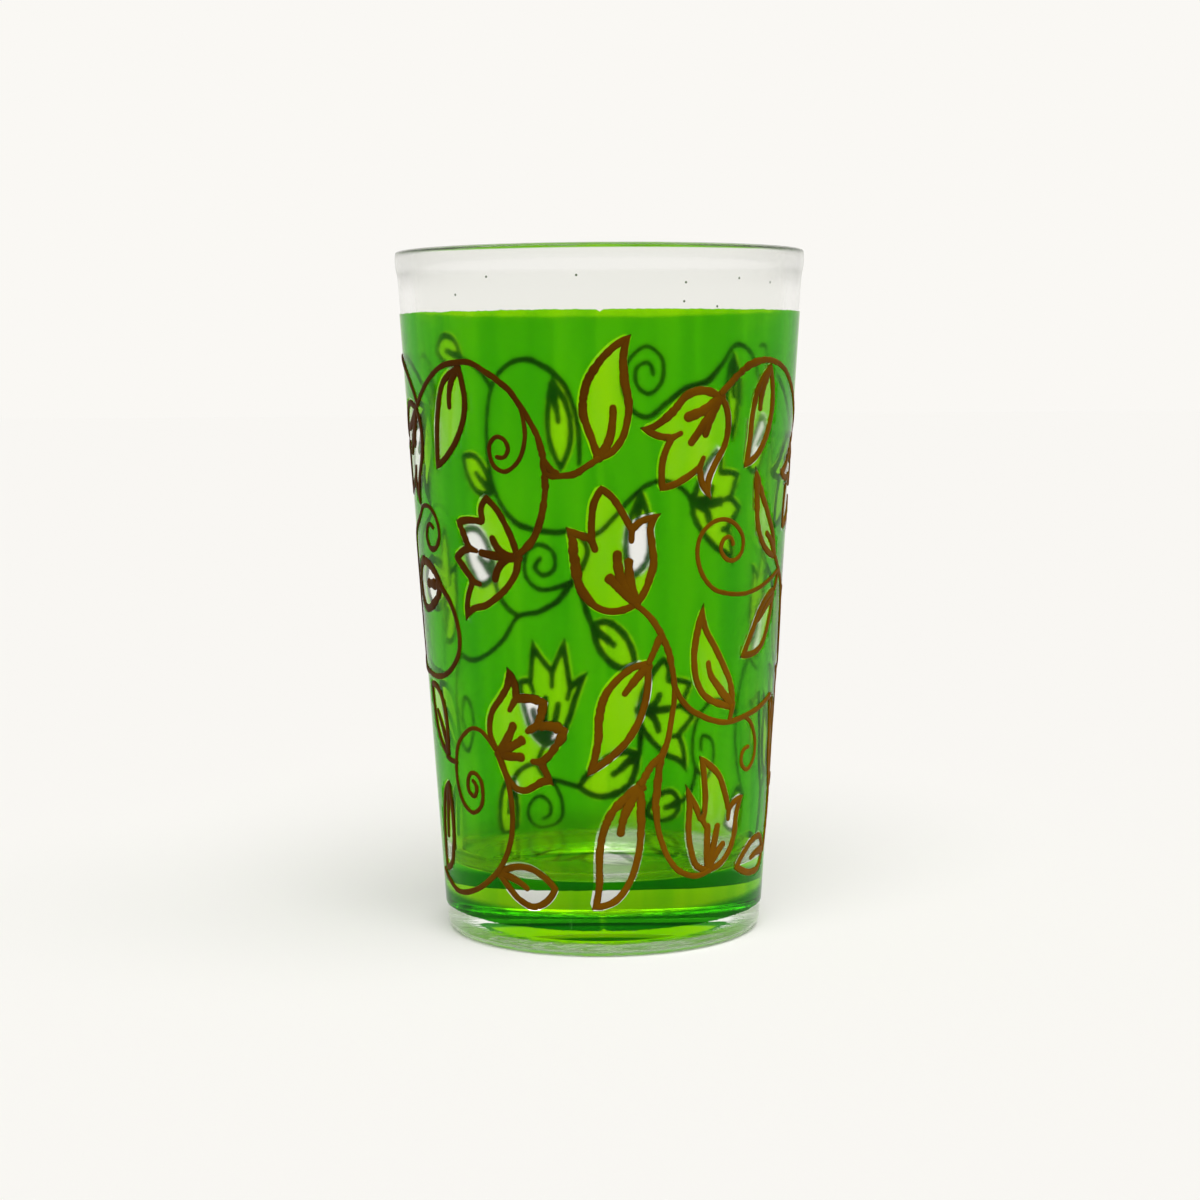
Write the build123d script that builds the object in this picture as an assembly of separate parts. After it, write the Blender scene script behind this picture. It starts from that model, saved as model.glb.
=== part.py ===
from build123d import *
from math import cos, hypot, radians, sin
import os

# Glass body, in millimetres
glass_height = 90.0
base_radius = 20.96
rim_radius = 26.86
wall_thickness = 2.0
floor_thickness = 9.4
floor_corner = 3.0
heel_round = 1.2
push_up_radius = 16.0
push_up_depth = 1.7
bead_height = 3.6
bead_proud = 0.2
lip_round = 0.85

# Green coat
clear_below_rim = 8.1
clear_above_base = 3.57
coat_thickness = 0.12

# Bronze ink
ink_thickness = 0.2
outline_width = 0.92
outline_reach = 0.2
stem_width = 0.78
tendril_width = 0.6
notch_tip_width = 0.7
vein_base_width = 1.3
vein_tip_width = 0.8
stamen_base_width = 1.3
stamen_tip_width = 1.05
corner_limit = 0.35

# Bare margin between the ink and the coat, widest up and to the left where the two prints are out of register
margin = 0.08
register_slip = 0.25
slip_direction = (-0.85, 0.53)

# Cutters start inside the wall and end outside it
cutter_reach = 0.6
cutter_clearance = 2.0

# The artwork is drawn as (angle in degrees, height in mm) on a coat of this band, and follows the real band.
# The outline of a motif reaches out past its drawn line, and the rest of its width lies inside.
drawn_low = 3.57
drawn_high = 81.9

# Leaf: base, one side, tip, other side, vein
front_leaves = [
    ((-43, 75), [(-50, 73.5), (-54.5, 69), (-56, 64.8)], (-56.3, 62.2), [(-53, 62.8), (-49, 64),
     (-44, 66.5), (-41, 70), (-41.3, 72.5)], [(-43.5, 74.8), (-47.3, 72.4), (-48, 70)]),
    ((-1, 63.5), [(-3, 66), (-5.4, 69.2), (-5.2, 71.2), (-3.8, 73.4), (0, 76), (4, 77.7)], (7.9, 78.6),
     [(6.9, 76), (7.2, 73.4), (8.3, 70.8), (8.1, 68.4), (6.3, 65.8), (3, 64.1)], [(-0.6, 63.8), (2.4, 66),
     (3.3, 68), (3.4, 69.9)]),
    ((14.5, 38.1), [(10, 37.8), (5, 36.5), (0.5, 34.2), (-1.4, 32), (-2, 28.5), (-3.4, 25.6)],
     (-4.7, 23.9), [(1, 25.3), (6.5, 27.2), (10.8, 29.5), (13.4, 32.1), (14.8, 35)], [(14.2, 37.6),
     (10, 35.8), (7, 34.2)]),
    ((12.5, 22.6), [(8, 21.5), (3, 19.5), (-1, 16), (-2, 13), (-2.2, 9.4)], (-3.6, 6.5), [(0, 6.6),
     (4, 7.2), (8.6, 9.2), (11.8, 12.4), (13.1, 16), (13.1, 19)], [(12.3, 22.2), (8, 19.6), (5.8, 16.2)]),
    ((46.5, 31.2), [(39, 32), (34, 33), (30.5, 35), (29, 38), (29.5, 41)], (32.2, 44.7), [(34, 42),
     (38, 39.5), (42, 37), (45.8, 34)], [(45.8, 31.8), (39, 34.5), (36, 36), (35, 37.5)]),
    ((-39, 10.3), [(-35, 11.2), (-30, 11.7), (-25, 11.6), (-20, 10.6)], (-15.8, 9), [(-20, 6.8),
     (-25, 6.1), (-30, 6.8), (-35, 8.5)], [(-38, 10.2), (-32, 9.8), (-27, 8.7)]),
    ((57, 75), [(51.2, 72.5), (48.4, 69), (47.6, 65.4)], (46.4, 62.2), [(51, 63), (56.5, 65.5),
     (59.4, 69), (59, 72.5)], [(56.4, 74.4), (53, 71.4), (52.4, 69.5)]),
    ((68, 50), [(59, 51.5), (54.5, 54), (52.6, 58)], (52, 61.7), [(56, 59), (61, 56), (66, 53)],
     [(67.2, 50.6), (64, 52.3), (60.5, 53.4)]),
    ((69, 46), [(64, 45.5), (59, 44), (54, 41)], (49.3, 37.8), [(55, 37.7), (61, 38.5), (66, 41.4)],
     [(68.2, 45.2), (63, 43.8), (58, 42.3)]),
    ((-62, 24.4), [(-61.4, 27.2), (-62.3, 30.6), (-66, 33)], (-75, 33.6), [(-74, 30), (-71, 27),
     (-66, 25)], [(-62.6, 25), (-66, 28), (-70, 30)]),
    ((-64, 21), [(-62.4, 17), (-63.4, 12.5), (-67, 9.6)], (-74, 8.6), [(-73.6, 13), (-71.6, 17),
     (-68, 20)], [(-64.5, 20.4), (-67, 17), (-68.6, 13.5)]),
    ((76, 10.8), [(72, 13), (64, 13.2), (56, 11.6)], (52, 9.9), [(57, 9), (64, 8.3), (72, 8.6)],
     [(75, 10.8), (69, 11), (63, 10.6)]),
]
back_leaves = [
    ((196.5, 73), [(198.8, 68.5), (198, 63.5)], (194, 60), [(190, 64), (191.2, 69.5)], [(196.2, 72.2),
     (194.6, 67)]),
    ((233, 76), [(237, 78.8), (243, 79.3)], (250, 77), [(244, 75.2), (238, 74.8)], [(234, 76.2),
     (242, 77)]),
    ((221.5, 57), [(224, 60.5), (229, 62.6)], (236, 62.6), [(234, 59.5), (228, 57)], [(222.5, 57.4),
     (229, 60)]),
    ((184, 38), [(179, 38.6), (172, 37)], (166.8, 32), [(174, 31.6), (181, 34)], [(183, 37.4),
     (175.5, 35)]),
    ((165.5, 19.6), [(171, 20), (181, 18.4)], (190.5, 14.7), [(181, 13), (170, 14.5)], [(166.5, 19.2),
     (176, 16.4)]),
    ((147, 13), [(151, 14.6), (157, 14)], (163, 10.8), [(156, 9.2), (150, 10.2)], [(148, 12.9),
     (154, 11.9)]),
    ((218, 16.6), [(223.6, 16.2), (227, 12.8)], (226, 7.6), [(219.4, 8.2), (216.6, 12.2)], [(218.8, 15.8),
     (221.8, 12)]),
    ((165.5, 57), [(170.2, 53), (171.6, 48)], (169.4, 44.5), [(163.4, 46.5), (161.8, 51)], [(165.8, 56),
     (167.2, 52)]),
    ((222.4, 45.6), [(224.6, 49.8), (230, 52.4)], (239, 52.2), [(236, 47), (229.4, 44.2)], [(223.4, 46),
     (230, 48.4)]),
    ((129.5, 76.5), [(126, 73.5), (125.6, 69)], (128, 64.4), [(131.6, 68), (132.4, 73)], [(129.3, 75.7),
     (128.6, 70.5)]),
    ((103, 66.5), [(107, 68), (113, 66)], (118, 60.8), [(111, 60), (104.5, 62.5)], [(104, 65.9),
     (110.5, 64)]),
    ((104, 16), [(110, 17), (116, 15)], (121, 10.6), [(113, 9.8), (106, 12)], [(105, 15.4), (112, 13.4)]),
    ((257, 75), [(252.6, 70.5), (252.6, 65.5)], (256, 60.5), [(260.6, 65.5), (261, 71)], [(257, 74.2),
     (256.4, 68)]),
    ((-58.6, 46.9), [(-66, 49.6), (-74, 50)], (-81.5, 47.3), [(-75, 43.4), (-66, 43.9)], [(-59.6, 46.9),
     (-70, 46.9)]),
]

# Tulip: base, runs of points from corner to corner and back to the base, notch strokes, stamens
tulip_left = (
    (-25, 51.5),
    [[(-28, 55), (-31.5, 57.4), (-35.2, 58.9)], [(-37.7, 57.8), (-37.8, 55.9)], [(-42, 56),
     (-47.7, 55.6)], [(-45.3, 53.4), (-44, 52.3)], [(-46.5, 51.9), (-49.7, 50.9)], [(-46, 49.2),
     (-43, 48)], [(-45, 46.5), (-46.2, 43.1)], [(-42.6, 44.2), (-37.8, 44.7), (-32.6, 46), (-28.5, 47.5),
     (-25.4, 49.5)]],
    [[(-44, 52.3), (-40.3, 51.9)], [(-43, 48), (-39.6, 47.7)]],
    [[(-25.2, 51.3), (-30, 51.6), (-33.8, 53.5)], [(-25.2, 51.3), (-31, 51.3), (-38.2, 51.7)],
     [(-25.2, 51.3), (-30, 50.8), (-33.5, 48.5)]])
tulip_upright = (
    (10.5, 45.3),
    [[(6, 44.5), (2, 44.4), (-2, 45), (-6.2, 47.1), (-8.2, 49.9), (-8.7, 52.5), (-9.7, 55)],
     [(-6.5, 54.5), (-3.3, 54.1)], [(-3.3, 56), (-2.3, 58.5), (0, 60.2)], [(3, 59.3), (6, 57.5),
     (9, 55.2)], [(11.5, 56.1), (14, 56.4), (16.8, 56.6)], [(15, 55), (15.5, 53), (16, 50.5), (14.5, 48),
     (12.4, 46.2)]],
    [[(-3.3, 54.1), (-1.9, 52.3)], [(9, 55.2), (8.8, 53.4)]],
    [[(10.3, 45.6), (6.5, 48), (4.6, 51.8)], [(10.3, 45.6), (8.6, 48), (8, 50.8)], [(10.3, 45.6),
     (6.2, 47.2), (2.3, 48.8)]])
tulip_wide = (
    (203.3, 20.8),
    [[(197.4, 21.5), (192.8, 24.2), (189.8, 27.4), (186, 31)], [(189, 30.4), (192, 29.4)], [(193, 32.4),
     (194.2, 35.8)], [(196.8, 34), (199.4, 31.8)], [(203, 33.4), (207, 35.8)], [(208.2, 33), (209, 30.4)],
     [(211, 30.6), (213.8, 30.4)], [(213, 28), (211.8, 25.8), (208, 22.4)]],
    [[(192, 29.4), (193.6, 27.4)], [(199.4, 31.8), (199.6, 29.2)], [(209, 30.4), (207.4, 28.6)]],
    [[(203.3, 21.2), (199.4, 23.8), (197.4, 26.6)], [(203.3, 21.2), (203, 24.4), (202.4, 27.6)],
     [(203.3, 21.2), (205.8, 23.6), (207.8, 26)]])
tulip_low = (
    (38, 10.3),
    [[(33, 11), (30, 13.5), (28.8, 16.5), (29, 19), (28.3, 21.6)], [(30.5, 20.4), (32.6, 19.2),
     (34.6, 17.6)], [(35.2, 19.6), (34.6, 22), (33.2, 25.4)], [(38, 24.3), (42, 22.8), (45, 20.5),
     (47, 18.4)], [(50, 19.2), (54, 19.4)], [(51.6, 17), (51, 14.5), (48.5, 12.3), (44, 10.8)]],
    [[(34.6, 17.6), (36.8, 16)], [(47, 18.4), (46.8, 16.8)]],
    [[(38.5, 10.6), (37.4, 13.5), (37.3, 16.2)], [(38.5, 10.6), (40.3, 13.5), (41.6, 16)], [(38.5, 10.6),
     (41.5, 12.4), (44.5, 13.5)]])
tulip_right = (
    (-36, 26),
    [[(-39, 27.8), (-39.5, 29.5), (-38, 31.5), (-34.5, 33.3), (-31.7, 34.8), (-30.6, 37)], [(-28.5, 36),
     (-27.6, 33.6)], [(-22, 33.6), (-17.6, 33.1)], [(-18.6, 31.6), (-19.5, 30.3)], [(-15.5, 30.2),
     (-11.2, 29.6)], [(-13.8, 27.6), (-19.3, 25.2)], [(-17.8, 24), (-16.5, 22.6)], [(-19.2, 22.6),
     (-22, 22), (-25.6, 21.3), (-29.8, 21.5), (-32.4, 22.4), (-34.5, 24)]],
    [[(-27.6, 33.6), (-30.5, 31.8)], [(-19.5, 30.3), (-24.4, 29.2)], [(-19.3, 25.2), (-23, 25.4)]],
    [[(-35.8, 26), (-32.5, 27.7), (-29.5, 29.8)], [(-35.8, 26), (-31.5, 26.9), (-26.5, 28)], [(-35.8, 26),
     (-31.5, 25.8), (-27, 25.8)]])
tulip_hanging = (
    (36, 71.3),
    [[(33, 71.8), (29, 72.1), (24.5, 71.5), (20, 69.5), (16, 68), (11.7, 67.3)], [(15, 66.3),
     (19.5, 65.9)], [(17.2, 63.3), (16.9, 61.5), (17.3, 59.7)], [(21, 60), (25, 60.8), (29, 61.9)],
     [(30, 60.2), (33.2, 58.6)], [(33, 60.3), (35, 62.5), (38.5, 65), (39.5, 67.5), (38.5, 69.8)]],
    [[(19.5, 65.9), (23, 66.6)], [(29, 61.9), (30.5, 63.5)]],
    [[(35.8, 71.1), (31, 69.6), (25, 68.6)], [(35.8, 71.1), (31.5, 68.4), (26.5, 65.5)], [(35.8, 71.1),
     (33.2, 69), (31, 66.5)]])

# Each tulip with the turn and rise of every place it is printed at
tulip_places = [
    (tulip_left, [(0, 0), (191.3, -25.5), (171, 4.2)]),
    (tulip_upright, [(0, 0), (93, -9), (255, -7)]),
    (tulip_wide, [(0, 0)]),
    (tulip_low, [(0, 0), (47, 10)]),
    (tulip_right, [(0, 0)]),
    (tulip_hanging, [(0, 0), (-104, -1.5), (57, -6)]),
]

stems = [
    [(-66, 70.2), (-61, 72.2), (-55.5, 73.9), (-50, 75.1), (-44.5, 75.5), (-39, 75.5), (-32, 74),
     (-27, 72.5), (-22, 69.7), (-18, 66.5), (-16.3, 63), (-16, 60.5), (-16.8, 57.5), (-19, 54.5),
     (-22, 52.7), (-25.4, 51.6)],
    [(-15.9, 61.7), (-12.3, 61.5), (-7, 61.9), (-3.7, 62.8), (-0.8, 63.6)],
    [(-16.7, 64.4), (-15.4, 62.8), (-12.5, 61.8)],
    [(10.4, 45.3), (14, 44.1), (17, 42.4), (20.5, 39.5), (22, 37), (22.9, 34.8), (22.8, 33), (22, 30.5),
     (20.5, 27.5), (18.6, 25.2), (17.5, 22), (17.6, 18.2), (19.5, 15), (22.5, 12.5), (26, 11), (30, 10.2),
     (34, 10), (38, 10.4)],
    [(18.2, 41.6), (16.5, 40), (14.4, 38.1)],
    [(22.6, 35.4), (25, 33.3), (28, 32), (32.5, 30.9), (38, 30), (43, 29.6), (53, 30), (63, 30.8),
     (71, 31.8)],
    [(19.4, 26.2), (16, 25), (12.4, 22.6)],
    [(45.8, 31.5), (44.8, 29.8)],
    [(-56.5, 24), (-60, 24), (-63, 24.4)],
    [(-36, 26), (-34, 24.2), (-32.4, 22.6), (-31.5, 20.5), (-31.2, 17.5), (-32.5, 14.5), (-35, 12.3),
     (-38, 10.7), (-42, 9.3), (-46, 8.2), (-51, 7.3), (-57, 6.6), (-63, 6.5), (-69, 7.2), (-76, 8.4)],
    [(36, 71.5), (40.8, 73.4), (46.7, 75), (53.6, 75.6), (62.9, 74.9), (73.7, 72.3), (84, 68.6),
     (93, 65.4)],
    [(-59, 46.9), (-53, 44.5), (-50.5, 42), (-50, 40), (-51.5, 38), (-55, 36.5), (-60, 35.3), (-66, 34.8),
     (-75, 35)],
    [(68, 50), (72, 48.4), (77, 46.4), (80.4, 42.4), (84, 37.4), (92, 34.2), (101, 34.4), (107, 35.2)],
    [(69, 46), (72, 48.4)],
    [(71, 31.8), (73.6, 27), (76, 22), (80, 19.2), (85, 20.3)],
    [(76, 10.8), (79, 14), (79.6, 19.4)],
    [(170, 69), (164, 67.5), (158, 69.2), (150, 71.5), (141, 72.8), (135, 75), (129, 77.6), (122, 77),
     (115, 74)],
    [(187.6, 61), (187.4, 64.6), (189.4, 69.4), (193, 72.6), (199, 74.8), (205, 75.8), (212, 75.2),
     (218.5, 72.6), (222, 68), (222.6, 63), (221, 58.4), (217, 55), (211, 52.6), (203, 51.6),
     (195, 51.2)],
    [(195.4, 51.2), (189, 51), (185, 48.8), (187, 46.2), (190, 44.6), (196, 41.6), (204, 40), (212, 39.6),
     (220, 36.4), (229, 34.6), (238, 34.2), (246, 35.4)],
    [(212, 39.6), (218.4, 41.4), (222.4, 45.6)],
    [(184, 38), (186.4, 41), (188.6, 45.6)],
    [(203.3, 20.8), (205.4, 19.6), (206.4, 18), (203, 16.4), (197, 15.6), (190.6, 14.8)],
    [(206, 18.4), (212, 18.2), (218, 16.6)],
    [(166.3, 26), (165, 22.5), (165.5, 19.6)],
    [(147, 13), (143.6, 14.2), (140.4, 18.2)],
    [(146, 55.7), (151.5, 57.7), (158, 58.5), (163.5, 57.9), (169.5, 55.9), (175.5, 53.2), (180.5, 51.2),
     (186.4, 50.2)],
    [(233, 76), (227, 75), (219.5, 71.8)],
    [(-66, 70.2), (-72, 73.2), (-80, 75.4), (-90, 76.4), (-98, 76), (-103, 75)],
    [(265.4, 38.3), (271, 36.4), (278, 35.2), (285, 35)],
    [(103.4, 36.4), (107, 35.2), (113, 32), (116.4, 27), (114.4, 21), (104, 16)],
    [(102, 66.4), (97.6, 65.8), (93, 65.4)],
]
tendrils = [
    [(-22.8, 70.2), (-21.7, 68), (-21.5, 66.5), (-22.5, 64.5), (-25, 62.8), (-28.5, 62), (-31.6, 62.6),
     (-33.1, 64.1), (-32.8, 65.5), (-30.5, 66.3), (-28, 65.9), (-27, 64.8), (-28.4, 63.8), (-30.6, 63.8)],
    [(-37, 26.6), (-39.8, 27.9), (-42.5, 28.7), (-46.2, 28.9), (-50.9, 27.9), (-54.9, 26.3),
     (-56.7, 23.8), (-56.7, 21.2), (-54.2, 18.9), (-48.8, 17.7), (-44.4, 18.8), (-43.3, 20.6),
     (-43.9, 22.1), (-45.9, 22.9), (-48.8, 22.9), (-50.4, 21.8), (-50.2, 20.5), (-47.7, 19.9),
     (-46.1, 21.1), (-47.7, 21.9)],
    [(72, 48.4), (66, 47.6), (58, 46.6), (50, 46), (42, 46.2), (36, 46.9), (31.5, 48.8), (29.3, 51.5),
     (30.3, 53.8), (34, 55.3), (39, 55.7), (43.8, 54.8), (47, 53), (46.4, 51.3), (43, 50.4), (39.6, 50.8),
     (37.8, 52), (38.9, 53.2), (41, 53.4), (42.6, 52.5)],
    [(52, 30), (57, 28.6), (60, 26.2), (59.5, 24), (55.5, 22.8), (52, 23.8), (52.6, 25.4), (55.5, 25.8)],
    [(-89, 36.4), (-87.6, 42), (-86, 48), (-83, 52.6), (-78, 54.2), (-72, 55.6), (-68, 57), (-63, 57),
     (-58.5, 55.5), (-57.4, 53.5), (-60, 51.9), (-64, 51.6), (-66.6, 53), (-64, 54.8), (-61.4, 54.4)],
    [(170.3, 69.3), (172.6, 72), (170.4, 75.6), (164.4, 77.6), (159, 75.8), (159, 72.6), (163.6, 70.8),
     (167.8, 72.4), (167.2, 74.8), (163.6, 75.2), (162, 73.6)],
    [(190, 44.6), (195, 43.6), (203, 43.2), (208.6, 45.2), (208, 48.4), (203, 49.6), (197.6, 48.2),
     (197.4, 46), (201.6, 45.2), (204.6, 46.4), (202.6, 47.6)],
    [(203, 16.4), (198.6, 14.6), (196.4, 11.6), (199, 8.8), (205.6, 7.8), (211, 9.8), (211, 12.6),
     (206.4, 13.8), (202, 12.6), (202, 10.8), (205, 10)],
    [(116.6, 26.4), (124, 28), (132, 28), (139.4, 25.6), (142.4, 21.6), (140, 18), (134.6, 17),
     (131, 19.4), (132.6, 22.4), (137, 22.8), (138, 20.8)],
    [(246, 35.4), (252, 33), (255, 28), (252.4, 23.6), (246, 22), (241, 24.4), (241.4, 28), (246, 29.4),
     (249.6, 27.4), (248, 25.2)],
    [(115.8, 74.4), (110, 72.4), (106.4, 74.4), (108.6, 77.2), (113.4, 77.4)],
]


def wall_radius(z):
    return base_radius + (rim_radius - base_radius) * z / glass_height


def band_height(drawn):
    """Height on the wall of a height in the drawing."""
    share = (drawn - drawn_low) / (drawn_high - drawn_low)
    return coat_low + share * (coat_high - coat_low)


def moved(points, turn, rise):
    return [(angle + turn, height + rise) for angle, height in points]


def middle_angle(points):
    angles = [angle for angle, height in points]
    return (min(angles) + max(angles)) / 2


def flat(points, facing):
    """Points on the upright plane that faces outward at the given angle."""
    placed = []
    for angle, height in points:
        z = band_height(height)
        placed.append((wall_radius(z) * sin(radians(angle - facing)), z))
    return placed


def left_normal(start, end):
    length = hypot(end[0] - start[0], end[1] - start[1])
    return ((start[1] - end[1]) / length, (end[0] - start[0]) / length)


def toward(start, end, distance):
    """Point at the distance from the start, on the way to the end."""
    normal = left_normal(start, end)
    return (start[0] + normal[1] * distance, start[1] - normal[0] * distance)


def shifted_point(before, point, after, shift):
    """Point moved to the left of the path by the shift, mitred where the path turns."""
    first = left_normal(before, point)
    second = left_normal(point, after)
    spread = max(1 + first[0] * second[0] + first[1] * second[1], corner_limit)
    scale = shift / spread
    return (point[0] + scale * (first[0] + second[0]), point[1] + scale * (first[1] + second[1]))


def curve(points):
    if len(points) == 2:
        return Line(*points)
    return Spline(*points)


def ribbon(points, start_width, end_width):
    """Line of ink along the points, with round ends."""
    last = len(points) - 1
    sides = {1: [], -1: []}
    for index, point in enumerate(points):
        before = points[max(index - 1, 0)]
        after = points[min(index + 1, last)]
        normal = left_normal(before, after)
        half = (start_width + (end_width - start_width) * index / last) / 2
        for side in sides:
            sides[side].append((point[0] + side * half * normal[0], point[1] + side * half * normal[1]))
    start_cap = toward(points[0], points[1], -start_width / 2)
    end_cap = toward(points[-1], points[-2], -end_width / 2)
    edges = [curve(sides[1]), ThreePointArc(sides[1][-1], end_cap, sides[-1][-1])]
    edges += [curve(sides[-1][::-1]), ThreePointArc(sides[-1][0], start_cap, sides[1][0])]
    return make_face(edges)


def closed_face(runs, shift, slip=0):
    """Face inside a closed outline, its edge moved out by the shift and, on the slip side, by the slip."""
    loop = [point for run in runs for point in run[1:]]
    area = sum(a[0] * b[1] - a[1] * b[0] for a, b in zip(loop, loop[1:] + loop[:1]))
    outward = -1 if area > 0 else 1
    around = loop[-1:] + loop + loop[:1]
    new = []
    for before, point, after in zip(around, loop, around[2:]):
        normal = left_normal(before, after)
        toward_slip = outward * (normal[0] * slip_direction[0] + normal[1] * slip_direction[1])
        new.append(shifted_point(before, point, after, outward * (shift + slip * max(toward_slip, 0))))
    edges = []
    place = 0
    for run in runs:
        stretch = [new[place - 1]] + new[place:place + len(run) - 1]
        place += len(run) - 1
        edges.append(curve(stretch))
    return make_face(edges)


def fused(sketches):
    if len(sketches) == 1:
        return sketches[0]
    return sketches[0] + sketches[1:]


def prism(sketch, facing):
    """Sketch carried outward through the wall on the facing side only."""
    inner = base_radius * cutter_reach
    outer = rim_radius + cutter_clearance
    turn = radians(facing)
    outward = Vector(sin(turn), -cos(turn), 0)
    plane = Plane(outward * inner, (cos(turn), sin(turn), 0), outward)
    return extrude(plane * sketch, outer - inner)


def wall_band(lift, thickness, low, high):
    """Ring of even thickness, lifted off the outside of the glass wall."""
    inside = [(wall_radius(z) + lift, z) for z in (low, high)]
    outside = [(radius + thickness, z) for radius, z in inside]
    return revolve(Plane.XZ * make_face(Polyline(*inside, *outside[::-1], close=True)), Axis.Z)


def nearest_vertex(sketch, radius, z):
    return sketch.vertices().sort_by_distance((radius, z, 0))[0]


def glass():
    """Tumbler: revolved wall and floor, with a shallow hollow under the base."""
    bead_low = glass_height - bead_height
    bead_high = glass_height - lip_round
    bead_top = (wall_radius(glass_height), glass_height)
    bead_middle = (wall_radius((bead_low + bead_high) / 2) + bead_proud, (bead_low + bead_high) / 2)
    inner_top = wall_radius(glass_height) - wall_thickness
    inner_floor = wall_radius(floor_thickness) - wall_thickness
    outline = [
        Line((0, 0), (base_radius, 0)),
        Line((base_radius, 0), (wall_radius(bead_low), bead_low)),
        ThreePointArc((wall_radius(bead_low), bead_low), bead_middle, bead_top),
        Polyline(bead_top, (inner_top, glass_height), (inner_floor, floor_thickness),
                 (0, floor_thickness), (0, 0)),
    ]
    profile = make_face(outline)
    profile = fillet(nearest_vertex(profile, base_radius, 0), heel_round)
    profile = fillet(nearest_vertex(profile, *bead_top), lip_round)
    profile = fillet(nearest_vertex(profile, inner_top, glass_height), lip_round)
    profile = fillet(nearest_vertex(profile, inner_floor, floor_thickness), floor_corner)
    dome_radius = (push_up_radius ** 2 + push_up_depth ** 2) / (2 * push_up_depth)
    return revolve(Plane.XZ * profile, Axis.Z) - Pos(0, 0, push_up_depth - dome_radius) * Sphere(dome_radius)


coat_low = clear_above_base
coat_high = glass_height - clear_below_rim
ink_on_glass = wall_band(0, ink_thickness, coat_low, coat_high)
ink_on_coat = wall_band(coat_thickness, ink_thickness, coat_low, coat_high)

vein_widths = (vein_base_width, vein_tip_width)
stamen_widths = (stamen_base_width, stamen_tip_width)
blanks = []
windows = []
leaf_outlines = []
leaf_veins = []
tulip_outlines = []
tulip_stamens = []


def print_motif(runs, notches, strokes, widths, outlines, fillings):
    """Add one closed motif: its window in the coat, its outline and the strokes inside it."""
    facing = middle_angle([point for run in runs for point in run])
    flat_runs = [flat(run, facing) for run in runs]
    blank = closed_face(flat_runs, outline_reach)
    border_width = 2 * (outline_width - outline_reach)
    border = fused([ribbon(run, border_width, border_width) for run in flat_runs])
    hole = blank - border
    ring = blank & border
    for notch in notches:
        outer, inner = flat(notch, facing)
        start = toward(outer, inner, outline_width / 2)
        ring = ring + ribbon([start, inner], outline_width, notch_tip_width)
    filling = fused([ribbon(flat(stroke, facing), *widths) for stroke in strokes]) & hole
    blanks.append(prism(blank, facing))
    windows.append(prism(closed_face(flat_runs, outline_reach + margin, register_slip), facing))
    outlines.append(prism(ring, facing) & ink_on_glass)
    fillings.append(prism(filling - ring, facing) & ink_on_glass)


for base, one_side, tip, other_side, vein in front_leaves + back_leaves:
    leaf_runs = [[base] + one_side + [tip], [tip] + other_side + [base]]
    print_motif(leaf_runs, [], [vein], vein_widths, leaf_outlines, leaf_veins)

for (base, runs, notches, stamens), places in tulip_places:
    starts = [base] + [run[-1] for run in runs[:-1]]
    tulip_runs = [[start] + run for start, run in zip(starts, runs[:-1] + [runs[-1] + [base]])]
    for place in places:
        placed = [[moved(line, *place) for line in lines] for lines in (tulip_runs, notches, stamens)]
        print_motif(*placed, stamen_widths, tulip_outlines, tulip_stamens)


def line_of_ink(points, width):
    facing = middle_angle(points)
    return prism(ribbon(flat(points, facing), width, width), facing) & ink_on_coat


vine_stems = Part() + [line_of_ink(points, stem_width) for points in stems] - blanks
tendril_curls = Part() + [line_of_ink(points, tendril_width) for points in tendrils] - blanks - vine_stems
green_coat = wall_band(0, coat_thickness, coat_low, coat_high) - windows

nodes = {
    "glass_body": glass(),
    "green_coat": green_coat,
    "vine_stems": vine_stems,
    "tendril_curls": tendril_curls,
    "leaf_outlines": Part() + leaf_outlines,
    "leaf_veins": Part() + leaf_veins,
    "tulip_outlines": Part() + tulip_outlines,
    "tulip_stamens": Part() + tulip_stamens,
}
os.makedirs("parts", exist_ok=True)
for name, shape in nodes.items():
    export_step(shape, "parts/" + name + ".step")
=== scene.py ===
"""Tea glass: a clear tumbler, a green lacquer band and a vine printed in bronze ink."""

from math import ceil, cos, degrees, pi, radians, sin

import bmesh
import bpy
import numpy as np
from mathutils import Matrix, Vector, noise
from mathutils.geometry import interpolate_bezier


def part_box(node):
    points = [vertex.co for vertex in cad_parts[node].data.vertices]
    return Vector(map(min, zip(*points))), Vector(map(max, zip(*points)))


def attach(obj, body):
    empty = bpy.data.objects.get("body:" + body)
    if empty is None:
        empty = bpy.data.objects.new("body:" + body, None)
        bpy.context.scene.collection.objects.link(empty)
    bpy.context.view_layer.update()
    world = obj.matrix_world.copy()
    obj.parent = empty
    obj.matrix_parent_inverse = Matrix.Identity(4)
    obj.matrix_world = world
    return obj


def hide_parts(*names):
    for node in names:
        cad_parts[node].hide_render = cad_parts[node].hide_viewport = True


bl_info = {
    "name": "Tea glass",
    "version": (1, 0, 0),
    "blender": (4, 5, 0),
    "location": "View3D > Sidebar > Tea glass",
    "description": "Builds a green lacquered tea glass with a printed vine on its CAD frame",
    "category": "Add Mesh",
}

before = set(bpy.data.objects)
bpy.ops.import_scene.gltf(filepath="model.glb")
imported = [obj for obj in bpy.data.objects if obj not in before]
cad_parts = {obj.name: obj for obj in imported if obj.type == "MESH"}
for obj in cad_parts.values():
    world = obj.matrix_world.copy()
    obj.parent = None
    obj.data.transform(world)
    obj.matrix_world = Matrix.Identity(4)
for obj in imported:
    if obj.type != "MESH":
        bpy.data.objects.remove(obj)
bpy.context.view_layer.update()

MM = 0.001

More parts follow.
